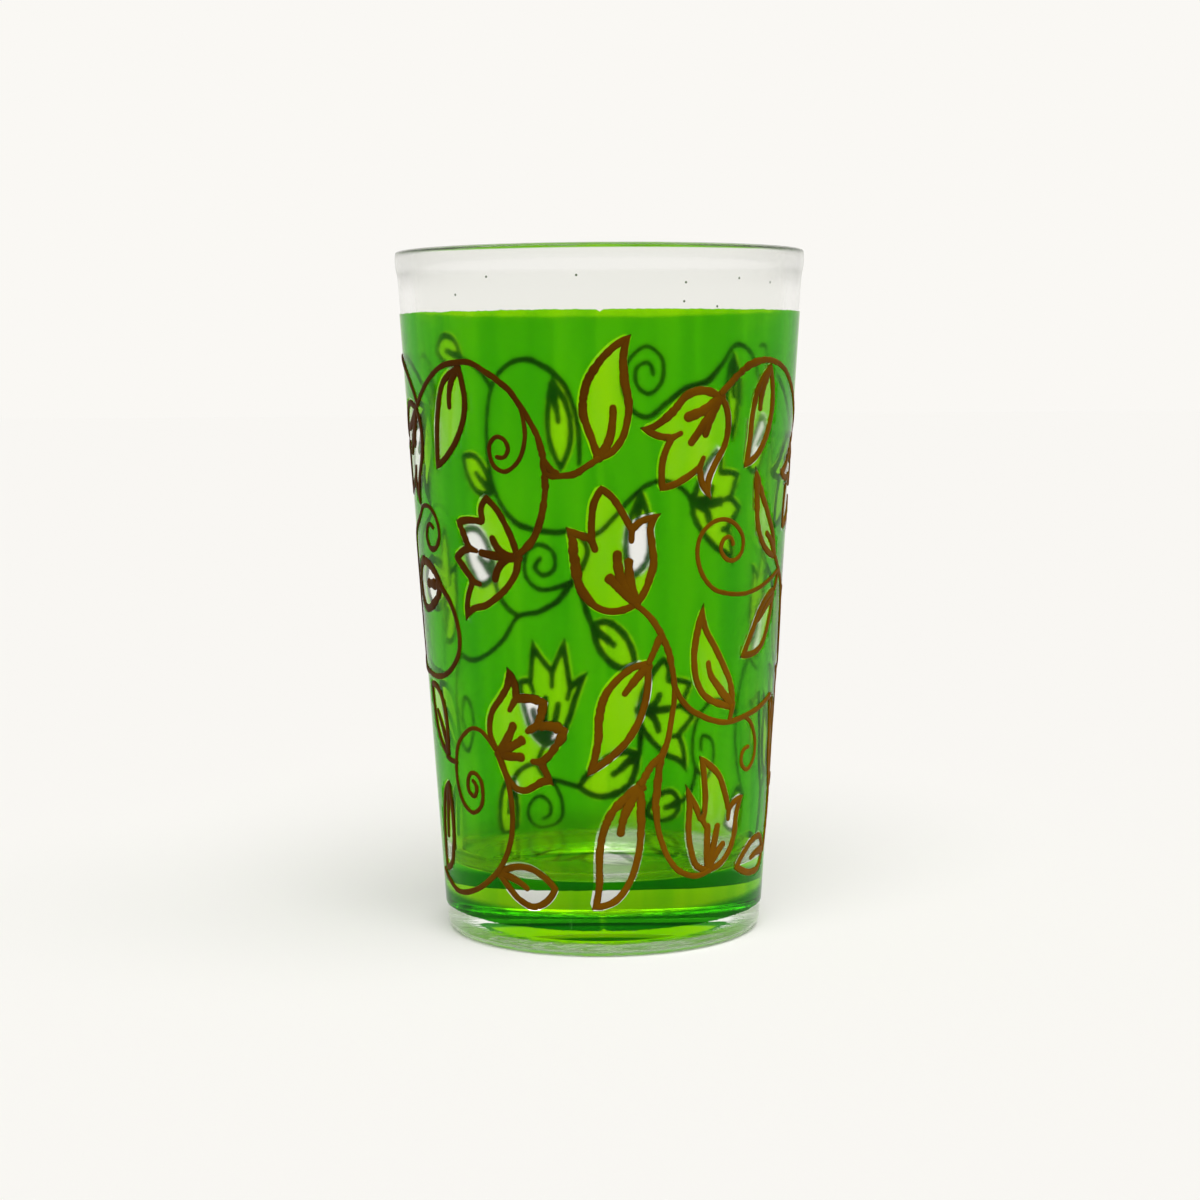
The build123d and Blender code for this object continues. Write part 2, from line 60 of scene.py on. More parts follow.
# Drawn as (angle in degrees, height in mm). Leaf: base, one side, tip, other side, vein
LEAVES = [
    ((-43, 75), [(-50, 73.5), (-54.5, 69), (-56, 64.8)], (-56.3, 62.2), [(-53, 62.8), (-49, 64),
     (-44, 66.5), (-41, 70), (-41.3, 72.5)], [(-43.5, 74.8), (-47.3, 72.4), (-48, 70)]),
    ((-1, 63.5), [(-3, 66), (-5.4, 69.2), (-5.2, 71.2), (-3.8, 73.4), (0, 76), (4, 77.7)],
     (7.9, 78.6), [(6.9, 76), (7.2, 73.4), (8.3, 70.8), (8.1, 68.4), (6.3, 65.8), (3, 64.1)],
     [(-0.6, 63.8), (2.4, 66), (3.3, 68), (3.4, 69.9)]),
    ((14.5, 38.1), [(10, 37.8), (5, 36.5), (0.5, 34.2), (-1.4, 32), (-2, 28.5), (-3.4, 25.6)],
     (-4.7, 23.9), [(1, 25.3), (6.5, 27.2), (10.8, 29.5), (13.4, 32.1), (14.8, 35)], [(14.2, 37.6),
     (10, 35.8), (7, 34.2)]),
    ((12.5, 22.6), [(8, 21.5), (3, 19.5), (-1, 16), (-2, 13), (-2.2, 9.4)], (-3.6, 6.5), [(0, 6.6),
     (4, 7.2), (8.6, 9.2), (11.8, 12.4), (13.1, 16), (13.1, 19)], [(12.3, 22.2), (8, 19.6),
     (5.8, 16.2)]),
    ((46.5, 31.2), [(39, 32), (34, 33), (30.5, 35), (29, 38), (29.5, 41)], (32.2, 44.7), [(34, 42),
     (38, 39.5), (42, 37), (45.8, 34)], [(45.8, 31.8), (39, 34.5), (36, 36), (35, 37.5)]),
    ((-39, 10.3), [(-35, 11.2), (-30, 11.7), (-25, 11.6), (-20, 10.6)], (-15.8, 9), [(-20, 6.8),
     (-25, 6.1), (-30, 6.8), (-35, 8.5)], [(-38, 10.2), (-32, 9.8), (-27, 8.7)]),
    ((57, 75), [(51.2, 72.5), (48.4, 69), (47.6, 65.4)], (46.4, 62.2), [(51, 63), (56.5, 65.5),
     (59.4, 69), (59, 72.5)], [(56.4, 74.4), (53, 71.4), (52.4, 69.5)]),
    ((68, 50), [(59, 51.5), (54.5, 54), (52.6, 58)], (52, 61.7), [(56, 59), (61, 56), (66, 53)],
     [(67.2, 50.6), (64, 52.3), (60.5, 53.4)]),
    ((69, 46), [(64, 45.5), (59, 44), (54, 41)], (49.3, 37.8), [(55, 37.7), (61, 38.5),
     (66, 41.4)], [(68.2, 45.2), (63, 43.8), (58, 42.3)]),
    ((-62, 24.4), [(-61.4, 27.2), (-62.3, 30.6), (-66, 33)], (-75, 33.6), [(-74, 30), (-71, 27),
     (-66, 25)], [(-62.6, 25), (-66, 28), (-70, 30)]),
    ((-64, 21), [(-62.4, 17), (-63.4, 12.5), (-67, 9.6)], (-74, 8.6), [(-73.6, 13), (-71.6, 17),
     (-68, 20)], [(-64.5, 20.4), (-67, 17), (-68.6, 13.5)]),
    ((76, 10.8), [(72, 13), (64, 13.2), (56, 11.6)], (52, 9.9), [(57, 9), (64, 8.3), (72, 8.6)],
     [(75, 10.8), (69, 11), (63, 10.6)]),
    ((196.5, 73), [(198.8, 68.5), (198, 63.5)], (194, 60), [(190, 64), (191.2, 69.5)],
     [(196.2, 72.2), (194.6, 67)]),
    ((233, 76), [(237, 78.8), (243, 79.3)], (250, 77), [(244, 75.2), (238, 74.8)], [(234, 76.2),
     (242, 77)]),
    ((221.5, 57), [(224, 60.5), (229, 62.6)], (236, 62.6), [(234, 59.5), (228, 57)],
     [(222.5, 57.4), (229, 60)]),
    ((184, 38), [(179, 38.6), (172, 37)], (166.8, 32), [(174, 31.6), (181, 34)], [(183, 37.4),
     (175.5, 35)]),
    ((165.5, 19.6), [(171, 20), (181, 18.4)], (190.5, 14.7), [(181, 13), (170, 14.5)],
     [(166.5, 19.2), (176, 16.4)]),
    ((147, 13), [(151, 14.6), (157, 14)], (163, 10.8), [(156, 9.2), (150, 10.2)], [(148, 12.9),
     (154, 11.9)]),
    ((218, 16.6), [(223.6, 16.2), (227, 12.8)], (226, 7.6), [(219.4, 8.2), (216.6, 12.2)],
     [(218.8, 15.8), (221.8, 12)]),
    ((165.5, 57), [(170.2, 53), (171.6, 48)], (169.4, 44.5), [(163.4, 46.5), (161.8, 51)],
     [(165.8, 56), (167.2, 52)]),
    ((222.4, 45.6), [(224.6, 49.8), (230, 52.4)], (239, 52.2), [(236, 47), (229.4, 44.2)],
     [(223.4, 46), (230, 48.4)]),
    ((129.5, 76.5), [(126, 73.5), (125.6, 69)], (128, 64.4), [(131.6, 68), (132.4, 73)],
     [(129.3, 75.7), (128.6, 70.5)]),
    ((103, 66.5), [(107, 68), (113, 66)], (118, 60.8), [(111, 60), (104.5, 62.5)], [(104, 65.9),
     (110.5, 64)]),
    ((104, 16), [(110, 17), (116, 15)], (121, 10.6), [(113, 9.8), (106, 12)], [(105, 15.4),
     (112, 13.4)]),
    ((257, 75), [(252.6, 70.5), (252.6, 65.5)], (256, 60.5), [(260.6, 65.5), (261, 71)],
     [(257, 74.2), (256.4, 68)]),
    ((-58.6, 46.9), [(-66, 49.6), (-74, 50)], (-81.5, 47.3), [(-75, 43.4), (-66, 43.9)],
     [(-59.6, 46.9), (-70, 46.9)]),
]

# Tulip: base, runs from corner to corner and back to the base, notch strokes, stamens, then
# the turn and rise of every place it is printed at
TULIPS = [
    ((-25, 51.5), [[(-28, 55), (-31.5, 57.4), (-35.2, 58.9)], [(-37.7, 57.8), (-37.8, 55.9)],
     [(-42, 56), (-47.7, 55.6)], [(-45.3, 53.4), (-44, 52.3)], [(-46.5, 51.9), (-49.7, 50.9)],
     [(-46, 49.2), (-43, 48)], [(-45, 46.5), (-46.2, 43.1)], [(-42.6, 44.2), (-37.8, 44.7),
     (-32.6, 46), (-28.5, 47.5), (-25.4, 49.5)]], [[(-44, 52.3), (-40.3, 51.9)], [(-43, 48),
     (-39.6, 47.7)]], [[(-25.2, 51.3), (-30, 51.6), (-33.8, 53.5)], [(-25.2, 51.3), (-31, 51.3),
     (-38.2, 51.7)], [(-25.2, 51.3), (-30, 50.8), (-33.5, 48.5)]], [(0, 0), (191.3, -25.5),
     (171, 4.2)]),
    ((10.5, 45.3), [[(6, 44.5), (2, 44.4), (-2, 45), (-6.2, 47.1), (-8.2, 49.9), (-8.7, 52.5),
     (-9.7, 55)], [(-6.5, 54.5), (-3.3, 54.1)], [(-3.3, 56), (-2.3, 58.5), (0, 60.2)], [(3, 59.3),
     (6, 57.5), (9, 55.2)], [(11.5, 56.1), (14, 56.4), (16.8, 56.6)], [(15, 55), (15.5, 53),
     (16, 50.5), (14.5, 48), (12.4, 46.2)]], [[(-3.3, 54.1), (-1.9, 52.3)], [(9, 55.2),
     (8.8, 53.4)]], [[(10.3, 45.6), (6.5, 48), (4.6, 51.8)], [(10.3, 45.6), (8.6, 48), (8, 50.8)],
     [(10.3, 45.6), (6.2, 47.2), (2.3, 48.8)]], [(0, 0), (93, -9), (255, -7)]),
    ((203.3, 20.8), [[(197.4, 21.5), (192.8, 24.2), (189.8, 27.4), (186, 31)], [(189, 30.4),
     (192, 29.4)], [(193, 32.4), (194.2, 35.8)], [(196.8, 34), (199.4, 31.8)], [(203, 33.4),
     (207, 35.8)], [(208.2, 33), (209, 30.4)], [(211, 30.6), (213.8, 30.4)], [(213, 28),
     (211.8, 25.8), (208, 22.4)]], [[(192, 29.4), (193.6, 27.4)], [(199.4, 31.8), (199.6, 29.2)],
     [(209, 30.4), (207.4, 28.6)]], [[(203.3, 21.2), (199.4, 23.8), (197.4, 26.6)],
     [(203.3, 21.2), (203, 24.4), (202.4, 27.6)], [(203.3, 21.2), (205.8, 23.6), (207.8, 26)]],
     [(0, 0)]),
    ((38, 10.3), [[(33, 11), (30, 13.5), (28.8, 16.5), (29, 19), (28.3, 21.6)], [(30.5, 20.4),
     (32.6, 19.2), (34.6, 17.6)], [(35.2, 19.6), (34.6, 22), (33.2, 25.4)], [(38, 24.3),
     (42, 22.8), (45, 20.5), (47, 18.4)], [(50, 19.2), (54, 19.4)], [(51.6, 17), (51, 14.5),
     (48.5, 12.3), (44, 10.8)]], [[(34.6, 17.6), (36.8, 16)], [(47, 18.4), (46.8, 16.8)]],
     [[(38.5, 10.6), (37.4, 13.5), (37.3, 16.2)], [(38.5, 10.6), (40.3, 13.5), (41.6, 16)],
     [(38.5, 10.6), (41.5, 12.4), (44.5, 13.5)]], [(0, 0), (47, 10)]),
    ((-36, 26), [[(-39, 27.8), (-39.5, 29.5), (-38, 31.5), (-34.5, 33.3), (-31.7, 34.8),
     (-30.6, 37)], [(-28.5, 36), (-27.6, 33.6)], [(-22, 33.6), (-17.6, 33.1)], [(-18.6, 31.6),
     (-19.5, 30.3)], [(-15.5, 30.2), (-11.2, 29.6)], [(-13.8, 27.6), (-19.3, 25.2)], [(-17.8, 24),
     (-16.5, 22.6)], [(-19.2, 22.6), (-22, 22), (-25.6, 21.3), (-29.8, 21.5), (-32.4, 22.4),
     (-34.5, 24)]], [[(-27.6, 33.6), (-30.5, 31.8)], [(-19.5, 30.3), (-24.4, 29.2)],
     [(-19.3, 25.2), (-23, 25.4)]], [[(-35.8, 26), (-32.5, 27.7), (-29.5, 29.8)], [(-35.8, 26),
     (-31.5, 26.9), (-26.5, 28)], [(-35.8, 26), (-31.5, 25.8), (-27, 25.8)]], [(0, 0)]),
    ((36, 71.3), [[(33, 71.8), (29, 72.1), (24.5, 71.5), (20, 69.5), (16, 68), (11.7, 67.3)],
     [(15, 66.3), (19.5, 65.9)], [(17.2, 63.3), (16.9, 61.5), (17.3, 59.7)], [(21, 60), (25, 60.8),
     (29, 61.9)], [(30, 60.2), (33.2, 58.6)], [(33, 60.3), (35, 62.5), (38.5, 65), (39.5, 67.5),
     (38.5, 69.8)]], [[(19.5, 65.9), (23, 66.6)], [(29, 61.9), (30.5, 63.5)]], [[(35.8, 71.1),
     (31, 69.6), (25, 68.6)], [(35.8, 71.1), (31.5, 68.4), (26.5, 65.5)], [(35.8, 71.1),
     (33.2, 69), (31, 66.5)]], [(0, 0), (-104, -1.5), (57, -6)]),
]

STEMS = [
    [(-66, 70.2), (-61, 72.2), (-55.5, 73.9), (-50, 75.1), (-44.5, 75.5), (-39, 75.5), (-32, 74),
     (-27, 72.5), (-22, 69.7), (-18, 66.5), (-16.3, 63), (-16, 60.5), (-16.8, 57.5), (-19, 54.5),
     (-22, 52.7), (-25.4, 51.6)],
    [(-15.9, 61.7), (-12.3, 61.5), (-7, 61.9), (-3.7, 62.8), (-0.8, 63.6)],
    [(-16.7, 64.4), (-15.4, 62.8), (-12.5, 61.8)],
    [(10.4, 45.3), (14, 44.1), (17, 42.4), (20.5, 39.5), (22, 37), (22.9, 34.8), (22.8, 33),
     (22, 30.5), (20.5, 27.5), (18.6, 25.2), (17.5, 22), (17.6, 18.2), (19.5, 15), (22.5, 12.5),
     (26, 11), (30, 10.2), (34, 10), (38, 10.4)],
    [(18.2, 41.6), (16.5, 40), (14.4, 38.1)],
    [(22.6, 35.4), (25, 33.3), (28, 32), (32.5, 30.9), (38, 30), (43, 29.6), (53, 30), (63, 30.8),
     (71, 31.8)],
    [(19.4, 26.2), (16, 25), (12.4, 22.6)],
    [(45.8, 31.5), (44.8, 29.8)],
    [(-56.5, 24), (-60, 24), (-63, 24.4)],
    [(-36, 26), (-34, 24.2), (-32.4, 22.6), (-31.5, 20.5), (-31.2, 17.5), (-32.5, 14.5),
     (-35, 12.3), (-38, 10.7), (-42, 9.3), (-46, 8.2), (-51, 7.3), (-57, 6.6), (-63, 6.5),
     (-69, 7.2), (-76, 8.4)],
    [(36, 71.5), (40.8, 73.4), (46.7, 75), (53.6, 75.6), (62.9, 74.9), (73.7, 72.3), (84, 68.6),
     (93, 65.4)],
    [(-59, 46.9), (-53, 44.5), (-50.5, 42), (-50, 40), (-51.5, 38), (-55, 36.5), (-60, 35.3),
     (-66, 34.8), (-75, 35)],
    [(68, 50), (72, 48.4), (77, 46.4), (80.4, 42.4), (84, 37.4), (92, 34.2), (101, 34.4),
     (107, 35.2)],
    [(69, 46), (72, 48.4)],
    [(71, 31.8), (73.6, 27), (76, 22), (80, 19.2), (85, 20.3)],
    [(76, 10.8), (79, 14), (79.6, 19.4)],
    [(170, 69), (164, 67.5), (158, 69.2), (150, 71.5), (141, 72.8), (135, 75), (129, 77.6),
     (122, 77), (115, 74)],
    [(187.6, 61), (187.4, 64.6), (189.4, 69.4), (193, 72.6), (199, 74.8), (205, 75.8), (212, 75.2),
     (218.5, 72.6), (222, 68), (222.6, 63), (221, 58.4), (217, 55), (211, 52.6), (203, 51.6),
     (195, 51.2)],
    [(195.4, 51.2), (189, 51), (185, 48.8), (187, 46.2), (190, 44.6), (196, 41.6), (204, 40),
     (212, 39.6), (220, 36.4), (229, 34.6), (238, 34.2), (246, 35.4)],
    [(212, 39.6), (218.4, 41.4), (222.4, 45.6)],
    [(184, 38), (186.4, 41), (188.6, 45.6)],
    [(203.3, 20.8), (205.4, 19.6), (206.4, 18), (203, 16.4), (197, 15.6), (190.6, 14.8)],
    [(206, 18.4), (212, 18.2), (218, 16.6)],
    [(166.3, 26), (165, 22.5), (165.5, 19.6)],
    [(147, 13), (143.6, 14.2), (140.4, 18.2)],
    [(146, 55.7), (151.5, 57.7), (158, 58.5), (163.5, 57.9), (169.5, 55.9), (175.5, 53.2),
     (180.5, 51.2), (186.4, 50.2)],
    [(233, 76), (227, 75), (219.5, 71.8)],
    [(-66, 70.2), (-72, 73.2), (-80, 75.4), (-90, 76.4), (-98, 76), (-103, 75)],
    [(265.4, 38.3), (271, 36.4), (278, 35.2), (285, 35)],
    [(103.4, 36.4), (107, 35.2), (113, 32), (116.4, 27), (114.4, 21), (104, 16)],
    [(102, 66.4), (97.6, 65.8), (93, 65.4)],
]
TENDRILS = [
    [(-22.8, 70.2), (-21.7, 68), (-21.5, 66.5), (-22.5, 64.5), (-25, 62.8), (-28.5, 62),
     (-31.6, 62.6), (-33.1, 64.1), (-32.8, 65.5), (-30.5, 66.3), (-28, 65.9), (-27, 64.8),
     (-28.4, 63.8), (-30.6, 63.8)],
    [(-37, 26.6), (-39.8, 27.9), (-42.5, 28.7), (-46.2, 28.9), (-50.9, 27.9), (-54.9, 26.3),
     (-56.7, 23.8), (-56.7, 21.2), (-54.2, 18.9), (-48.8, 17.7), (-44.4, 18.8), (-43.3, 20.6),
     (-43.9, 22.1), (-45.9, 22.9), (-48.8, 22.9), (-50.4, 21.8), (-50.2, 20.5), (-47.7, 19.9),
     (-46.1, 21.1), (-47.7, 21.9)],
    [(72, 48.4), (66, 47.6), (58, 46.6), (50, 46), (42, 46.2), (36, 46.9), (31.5, 48.8),
     (29.3, 51.5), (30.3, 53.8), (34, 55.3), (39, 55.7), (43.8, 54.8), (47, 53), (46.4, 51.3),
     (43, 50.4), (39.6, 50.8), (37.8, 52), (38.9, 53.2), (41, 53.4), (42.6, 52.5)],
    [(52, 30), (57, 28.6), (60, 26.2), (59.5, 24), (55.5, 22.8), (52, 23.8), (52.6, 25.4),
     (55.5, 25.8)],
    [(-89, 36.4), (-87.6, 42), (-86, 48), (-83, 52.6), (-78, 54.2), (-72, 55.6), (-68, 57),
     (-63, 57), (-58.5, 55.5), (-57.4, 53.5), (-60, 51.9), (-64, 51.6), (-66.6, 53), (-64, 54.8),
     (-61.4, 54.4)],
    [(170.3, 69.3), (172.6, 72), (170.4, 75.6), (164.4, 77.6), (159, 75.8), (159, 72.6),
     (163.6, 70.8), (167.8, 72.4), (167.2, 74.8), (163.6, 75.2), (162, 73.6)],
    [(190, 44.6), (195, 43.6), (203, 43.2), (208.6, 45.2), (208, 48.4), (203, 49.6), (197.6, 48.2),
     (197.4, 46), (201.6, 45.2), (204.6, 46.4), (202.6, 47.6)],
    [(203, 16.4), (198.6, 14.6), (196.4, 11.6), (199, 8.8), (205.6, 7.8), (211, 9.8), (211, 12.6),
     (206.4, 13.8), (202, 12.6), (202, 10.8), (205, 10)],
    [(116.6, 26.4), (124, 28), (132, 28), (139.4, 25.6), (142.4, 21.6), (140, 18), (134.6, 17),
     (131, 19.4), (132.6, 22.4), (137, 22.8), (138, 20.8)],
    [(246, 35.4), (252, 33), (255, 28), (252.4, 23.6), (246, 22), (241, 24.4), (241.4, 28),
     (246, 29.4), (249.6, 27.4), (248, 25.2)],
    [(115.8, 74.4), (110, 72.4), (106.4, 74.4), (108.6, 77.2), (113.4, 77.4)],
]

# The joint of the flat coat sheet runs between the motifs
COAT_JOINT = [(-11, 3.57), (-11, 18), (-8, 26), (-8, 34), (-13, 44), (-13, 60), (-9, 66), (-9, 81.9)]


def length(name, description, default):
    return bpy.props.FloatProperty(name=name, description=description, default=default, min=0.0,
                                   precision=5, unit="LENGTH")


def colour(name, description, default):
    return bpy.props.FloatVectorProperty(name=name, description=description, default=default,
                                         size=3, min=0.0, max=1.0, subtype="COLOR")


class GlassSizes(bpy.types.PropertyGroup):
    """Clear glass body"""
    height: length("Height", "Table to lip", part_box("glass_body")[1].z)
    base_radius: length("Base radius", "Outer wall carried down to the table", 20.96 * MM)
    rim_radius: length("Rim radius", "Outer wall carried up to the lip", 26.86 * MM)
    wall: length("Wall", "Thickness of the side wall", 2.0 * MM)
    floor: length("Floor", "Height of the inner floor", 9.4 * MM)
    floor_corner: length("Floor corner", "Round between the inner floor and wall", 3.0 * MM)
    heel: length("Heel", "Round at the foot", 1.2 * MM)
    hollow_radius: length("Hollow radius", "Radius of the hollow under the base", 16.0 * MM)
    hollow_depth: length("Hollow depth", "Depth of the hollow under the base", 1.7 * MM)
    bead_height: length("Bead height", "Height of the rim bead", 3.6 * MM)
    bead_proud: length("Bead proud", "How far the bead swells out", 0.2 * MM)
    lip: length("Lip", "Round of the lip", 0.85 * MM)


class CoatSizes(bpy.types.PropertyGroup):
    """Green lacquer band"""
    low: length("Low edge", "Height of the lower edge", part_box("green_coat")[0].z)
    high: length("High edge", "Height of the upper edge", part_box("green_coat")[1].z)
    thickness: length("Thickness", "Thickness of the lacquer", 0.12 * MM)
    margin: length("Margin", "Bare margin around a motif", 0.08 * MM)
    slip: length("Slip", "Extra margin where the two prints are out of register", 0.25 * MM)
    wear: length("Wear", "Depth of the waves in the upper and lower edge", 0.14 * MM)
    thin: colour("Thin film", "Light that passes the film where it is thin", (0.535, 0.838, 0.015))
    thick: colour("Thick film", "Light that passes the film where it is thick", (0.425, 0.78, 0.006))
    joint: colour("Joint", "Light that passes the film where its ends meet", (0.68, 0.9, 0.1))
    # Painted shade: a darker film colour along the lower edge, near the foot
    foot_shade: colour("Painted foot shade", "Light that passes the film where it gathered low down", (0.12, 0.5, 0.003))


class InkSizes(bpy.types.PropertyGroup):
    """Bronze ink"""
    thickness: length("Thickness", "Thickness of the ink", 0.2 * MM)
    outline: length("Outline", "Width of a motif's outline", 0.92 * MM)
    reach: length("Reach", "How far an outline reaches outside its drawn line", 0.2 * MM)
    stem: length("Stem", "Width of a stem", 0.78 * MM)
    tendril: length("Tendril", "Width of a tendril", 0.6 * MM)
    notch_tip: length("Notch tip", "Width at the end of a notch stroke", 0.7 * MM)
    vein_base: length("Vein base", "Width of a leaf's vein at its base", 1.3 * MM)
    vein_tip: length("Vein tip", "Width of a leaf's vein at its tip", 0.8 * MM)
    stamen_base: length("Stamen base", "Width of a stamen at its base", 1.3 * MM)
    stamen_tip: length("Stamen tip", "Width of a stamen at its tip", 1.05 * MM)
    # Dark and light ink: thick and thin print, and painted light that turns the ink lighter to the right and
    # below
    dark: colour("Dark ink", "Where the ink is thick", (0.065, 0.0195, 0.0006))
    light: colour("Light ink", "Where the ink is thin", (0.245, 0.102, 0.0012))
    # Painted shade: the ink's inner face, seen from inside the glass, is painted dark green
    under: colour("Underside", "Ink seen from inside the glass", (0.01, 0.13, 0.004))


class StageSizes(bpy.types.PropertyGroup):
    """Floor, light and camera"""
    camera_back: length("Camera distance", "Camera in front of the glass", 0.3216)
    camera_height: length("Camera height", "Camera above the table", 0.0758)
    lens: bpy.props.FloatProperty(name="Lens", description="Focal length on a 36 mm sensor",
                                  default=72.35, unit="CAMERA")
    pitch: bpy.props.FloatProperty(name="Pitch", description="How far the camera looks down",
                                   default=radians(5.70), subtype="ANGLE")
    roll: bpy.props.FloatProperty(name="Roll", description="How far the camera leans",
                                  default=radians(0.4), subtype="ANGLE")
    paper: colour("Paper", "Colour of the floor and backdrop", (0.956, 0.939, 0.905))


def wall_radius(z):
    sizes = bpy.context.scene.tea_glass
    return sizes.base_radius + (sizes.rim_radius - sizes.base_radius) * z / sizes.height


def moved(points, turn, rise):
    return [(angle + turn, height + rise) for angle, height in points]


def middle_angle(points):
    angles = [angle for angle, height in points]
    return (min(angles) + max(angles)) / 2


def flat(points, facing):
    """Drawn points on the flat sheet that is wound on the wall about the facing angle."""
    return [Vector((wall_radius(z * MM) * radians(angle - facing), z * MM)) for angle, z in points]


def wound(co, facing):
    """Point of the wound sheet: along the wall, up the wall, off the wall."""
    radius = wall_radius(co.y)
    turn = radians(facing) + co.x / radius
    return Vector(((radius + co.z) * sin(turn), -(radius + co.z) * cos(turn), co.y))


def smooth_line(points, step):
    """Points along a smooth curve through the given ones."""
    spans = [(b - a).length for a, b in zip(points, points[1:])]
    slopes = [(b - a) / span for a, b, span in zip(points, points[1:], spans)]
    pulls = [(slopes[i + 1] * spans[i] + slopes[i] * spans[i + 1]) / (spans[i] + spans[i + 1])
             for i in range(len(spans) - 1)]
    first = 2 * slopes[0] - pulls[0] if pulls else slopes[0]
    last = 2 * slopes[-1] - pulls[-1] if pulls else slopes[0]
    pulls = [first] + pulls + [last]
    line = []
    for i, span in enumerate(spans):
        start, end = points[i], points[i + 1]
        count = max(3, ceil(span / step) + 1)
        line += interpolate_bezier(start, start + pulls[i] * span / 3, end - pulls[i + 1] * span / 3,
                                   end, count)[:-1]
    return line + [points[-1]]


def left_normals(line):
    normals = []
    for i in range(len(line)):
        along = line[min(i + 1, len(line) - 1)] - line[max(i - 1, 0)]
        normals.append(Vector((-along.y, along.x)).normalized())
    return normals


def curve_mesh(paths, cyclic, **settings):
    """Mesh of a curve object with the given polylines, each a list of points and radii."""
    data = bpy.data.curves.new("drawn", "CURVE")
    for name, value in settings.items():
        setattr(data, name, value)
    for points, radii in paths:
        spline = data.splines.new("POLY")
        spline.points.add(len(points) - 1)
        spline.use_cyclic_u = cyclic
        for place, point, radius in zip(spline.points, points, radii):
            place.co = (point.x, point.y, 0, 1)
            place.radius = radius
    holder = bpy.data.objects.new("drawn", data)
    mesh = bpy.data.meshes.new_from_object(holder)
    bpy.data.objects.remove(holder)
    bpy.data.curves.remove(data)
    return mesh


# Spacing of the points along a stroke and round a window, steps of a round end, shape of the ink's dome
LINE_STEP = 0.2 * MM
WINDOW_STEP = 0.6 * MM
END_STEPS = 5
DOME = 0.55

# Uneven print: sway of a line and swell of its width, with the size of the waves in mm
SWAY = (0.04, 1.6)
SWELL = ((0.09, 0.9), (0.1, 0.4))

# Dry stretches of print: size in mm, place in the noise, and how much more they fray and spread
DRY_SIZE = 11
DRY_PLACE = Vector((425.13, 126.39, 0.0))
DRY_FRAY = 5
DRY_SPREAD = 0.6

# A motif's pointed tip: share of its depth and width, and the bluntest sine of half its angle
TIP_SHARES = (0.12, 0.4, 0.7, 1.0)
TIP_SINE = 0.2

# Share of the inset that an outline keeps to the drawn edge
EDGE_ROOM = 0.96

# Direction in which the lacquer's windows slipped from the ink
SLIP_TO = Vector((-0.85, 0.53))


def worn(line, halves, facing):
    """Stroke with the uneven edge of a hand print."""
    uneven = []
    widths = []
    for point, normal, half in zip(line, left_normals(line), halves):
        place = wound(Vector((point.x, point.y, 0)), facing) / MM
        dry = max(0.0, noise.noise(place / DRY_SIZE + DRY_PLACE))
        fray = 1 + DRY_FRAY * dry
        sway = SWAY[0] * MM * fray * noise.noise(place / SWAY[1])
        swell = sum(depth * noise.noise(place / wave + Vector((7, 0, 0))) for depth, wave in SWELL)
        uneven.append(point + normal * sway)
        widths.append(half * (1 + DRY_SPREAD * dry + fray * swell))
    return uneven, widths


class Print:
    """Strokes of ink that make one piece."""

    def __init__(self, lift):
        self.bm = bmesh.new()
        self.lift = lift

    def stroke(self, line, halves, facing):
        """Domed stroke of ink along the line, with its half width at each point, wound onto the wall."""
        line, halves = worn(line, halves, facing)
        mesh = curve_mesh([(line, halves)], False, dimensions="3D", twist_mode="Z_UP",
                          bevel_depth=1.0, bevel_resolution=3, use_fill_caps=True)
        thickness = bpy.context.scene.tea_ink.thickness
        full = max(halves)
        for vertex in mesh.vertices:
            rise = thickness * min(1.0, max(vertex.co.z, 0.0) / full) ** DOME
            vertex.co = wound(Vector((vertex.co.x, vertex.co.y, self.lift + rise)), facing)
        self.bm.from_mesh(mesh)
        bpy.data.meshes.remove(mesh)

    def brush(self, line, start, end, facing):
        """Stroke with round ends, from one width to another."""
        last = len(line) - 1
        halves = [(start + (end - start) * i / last) / 2 for i in range(last + 1)]
        heads = []
        for point, other, half in ((line[0], line[1], halves[0]), (line[-1], line[-2], halves[-1])):
            out = (point - other).normalized() * half
            turns = [radians(90 * i / END_STEPS) for i in range(1, END_STEPS + 1)]
            heads.append([(point + out * sin(turn), half * max(cos(turn), 0.05)) for turn in turns])
        ends = heads[0][::-1], heads[1]
        points = [p for p, h in ends[0]] + list(line) + [p for p, h in ends[1]]
        self.stroke(points, [h for p, h in ends[0]] + halves + [h for p, h in ends[1]], facing)


def closed_loop(runs, step):
    """Sampled outline of a motif: each run's points and normals that face into the motif."""
    lines = [smooth_line(run, step) for run in runs]
    loop = [point for line in lines for point in line[:-1]]
    area = sum(a.cross(b) for a, b in zip(loop, loop[1:] + loop[:1]))
    inward = 1 if area > 0 else -1
    return lines, [[normal * inward for normal in left_normals(line)] for line in lines], inward


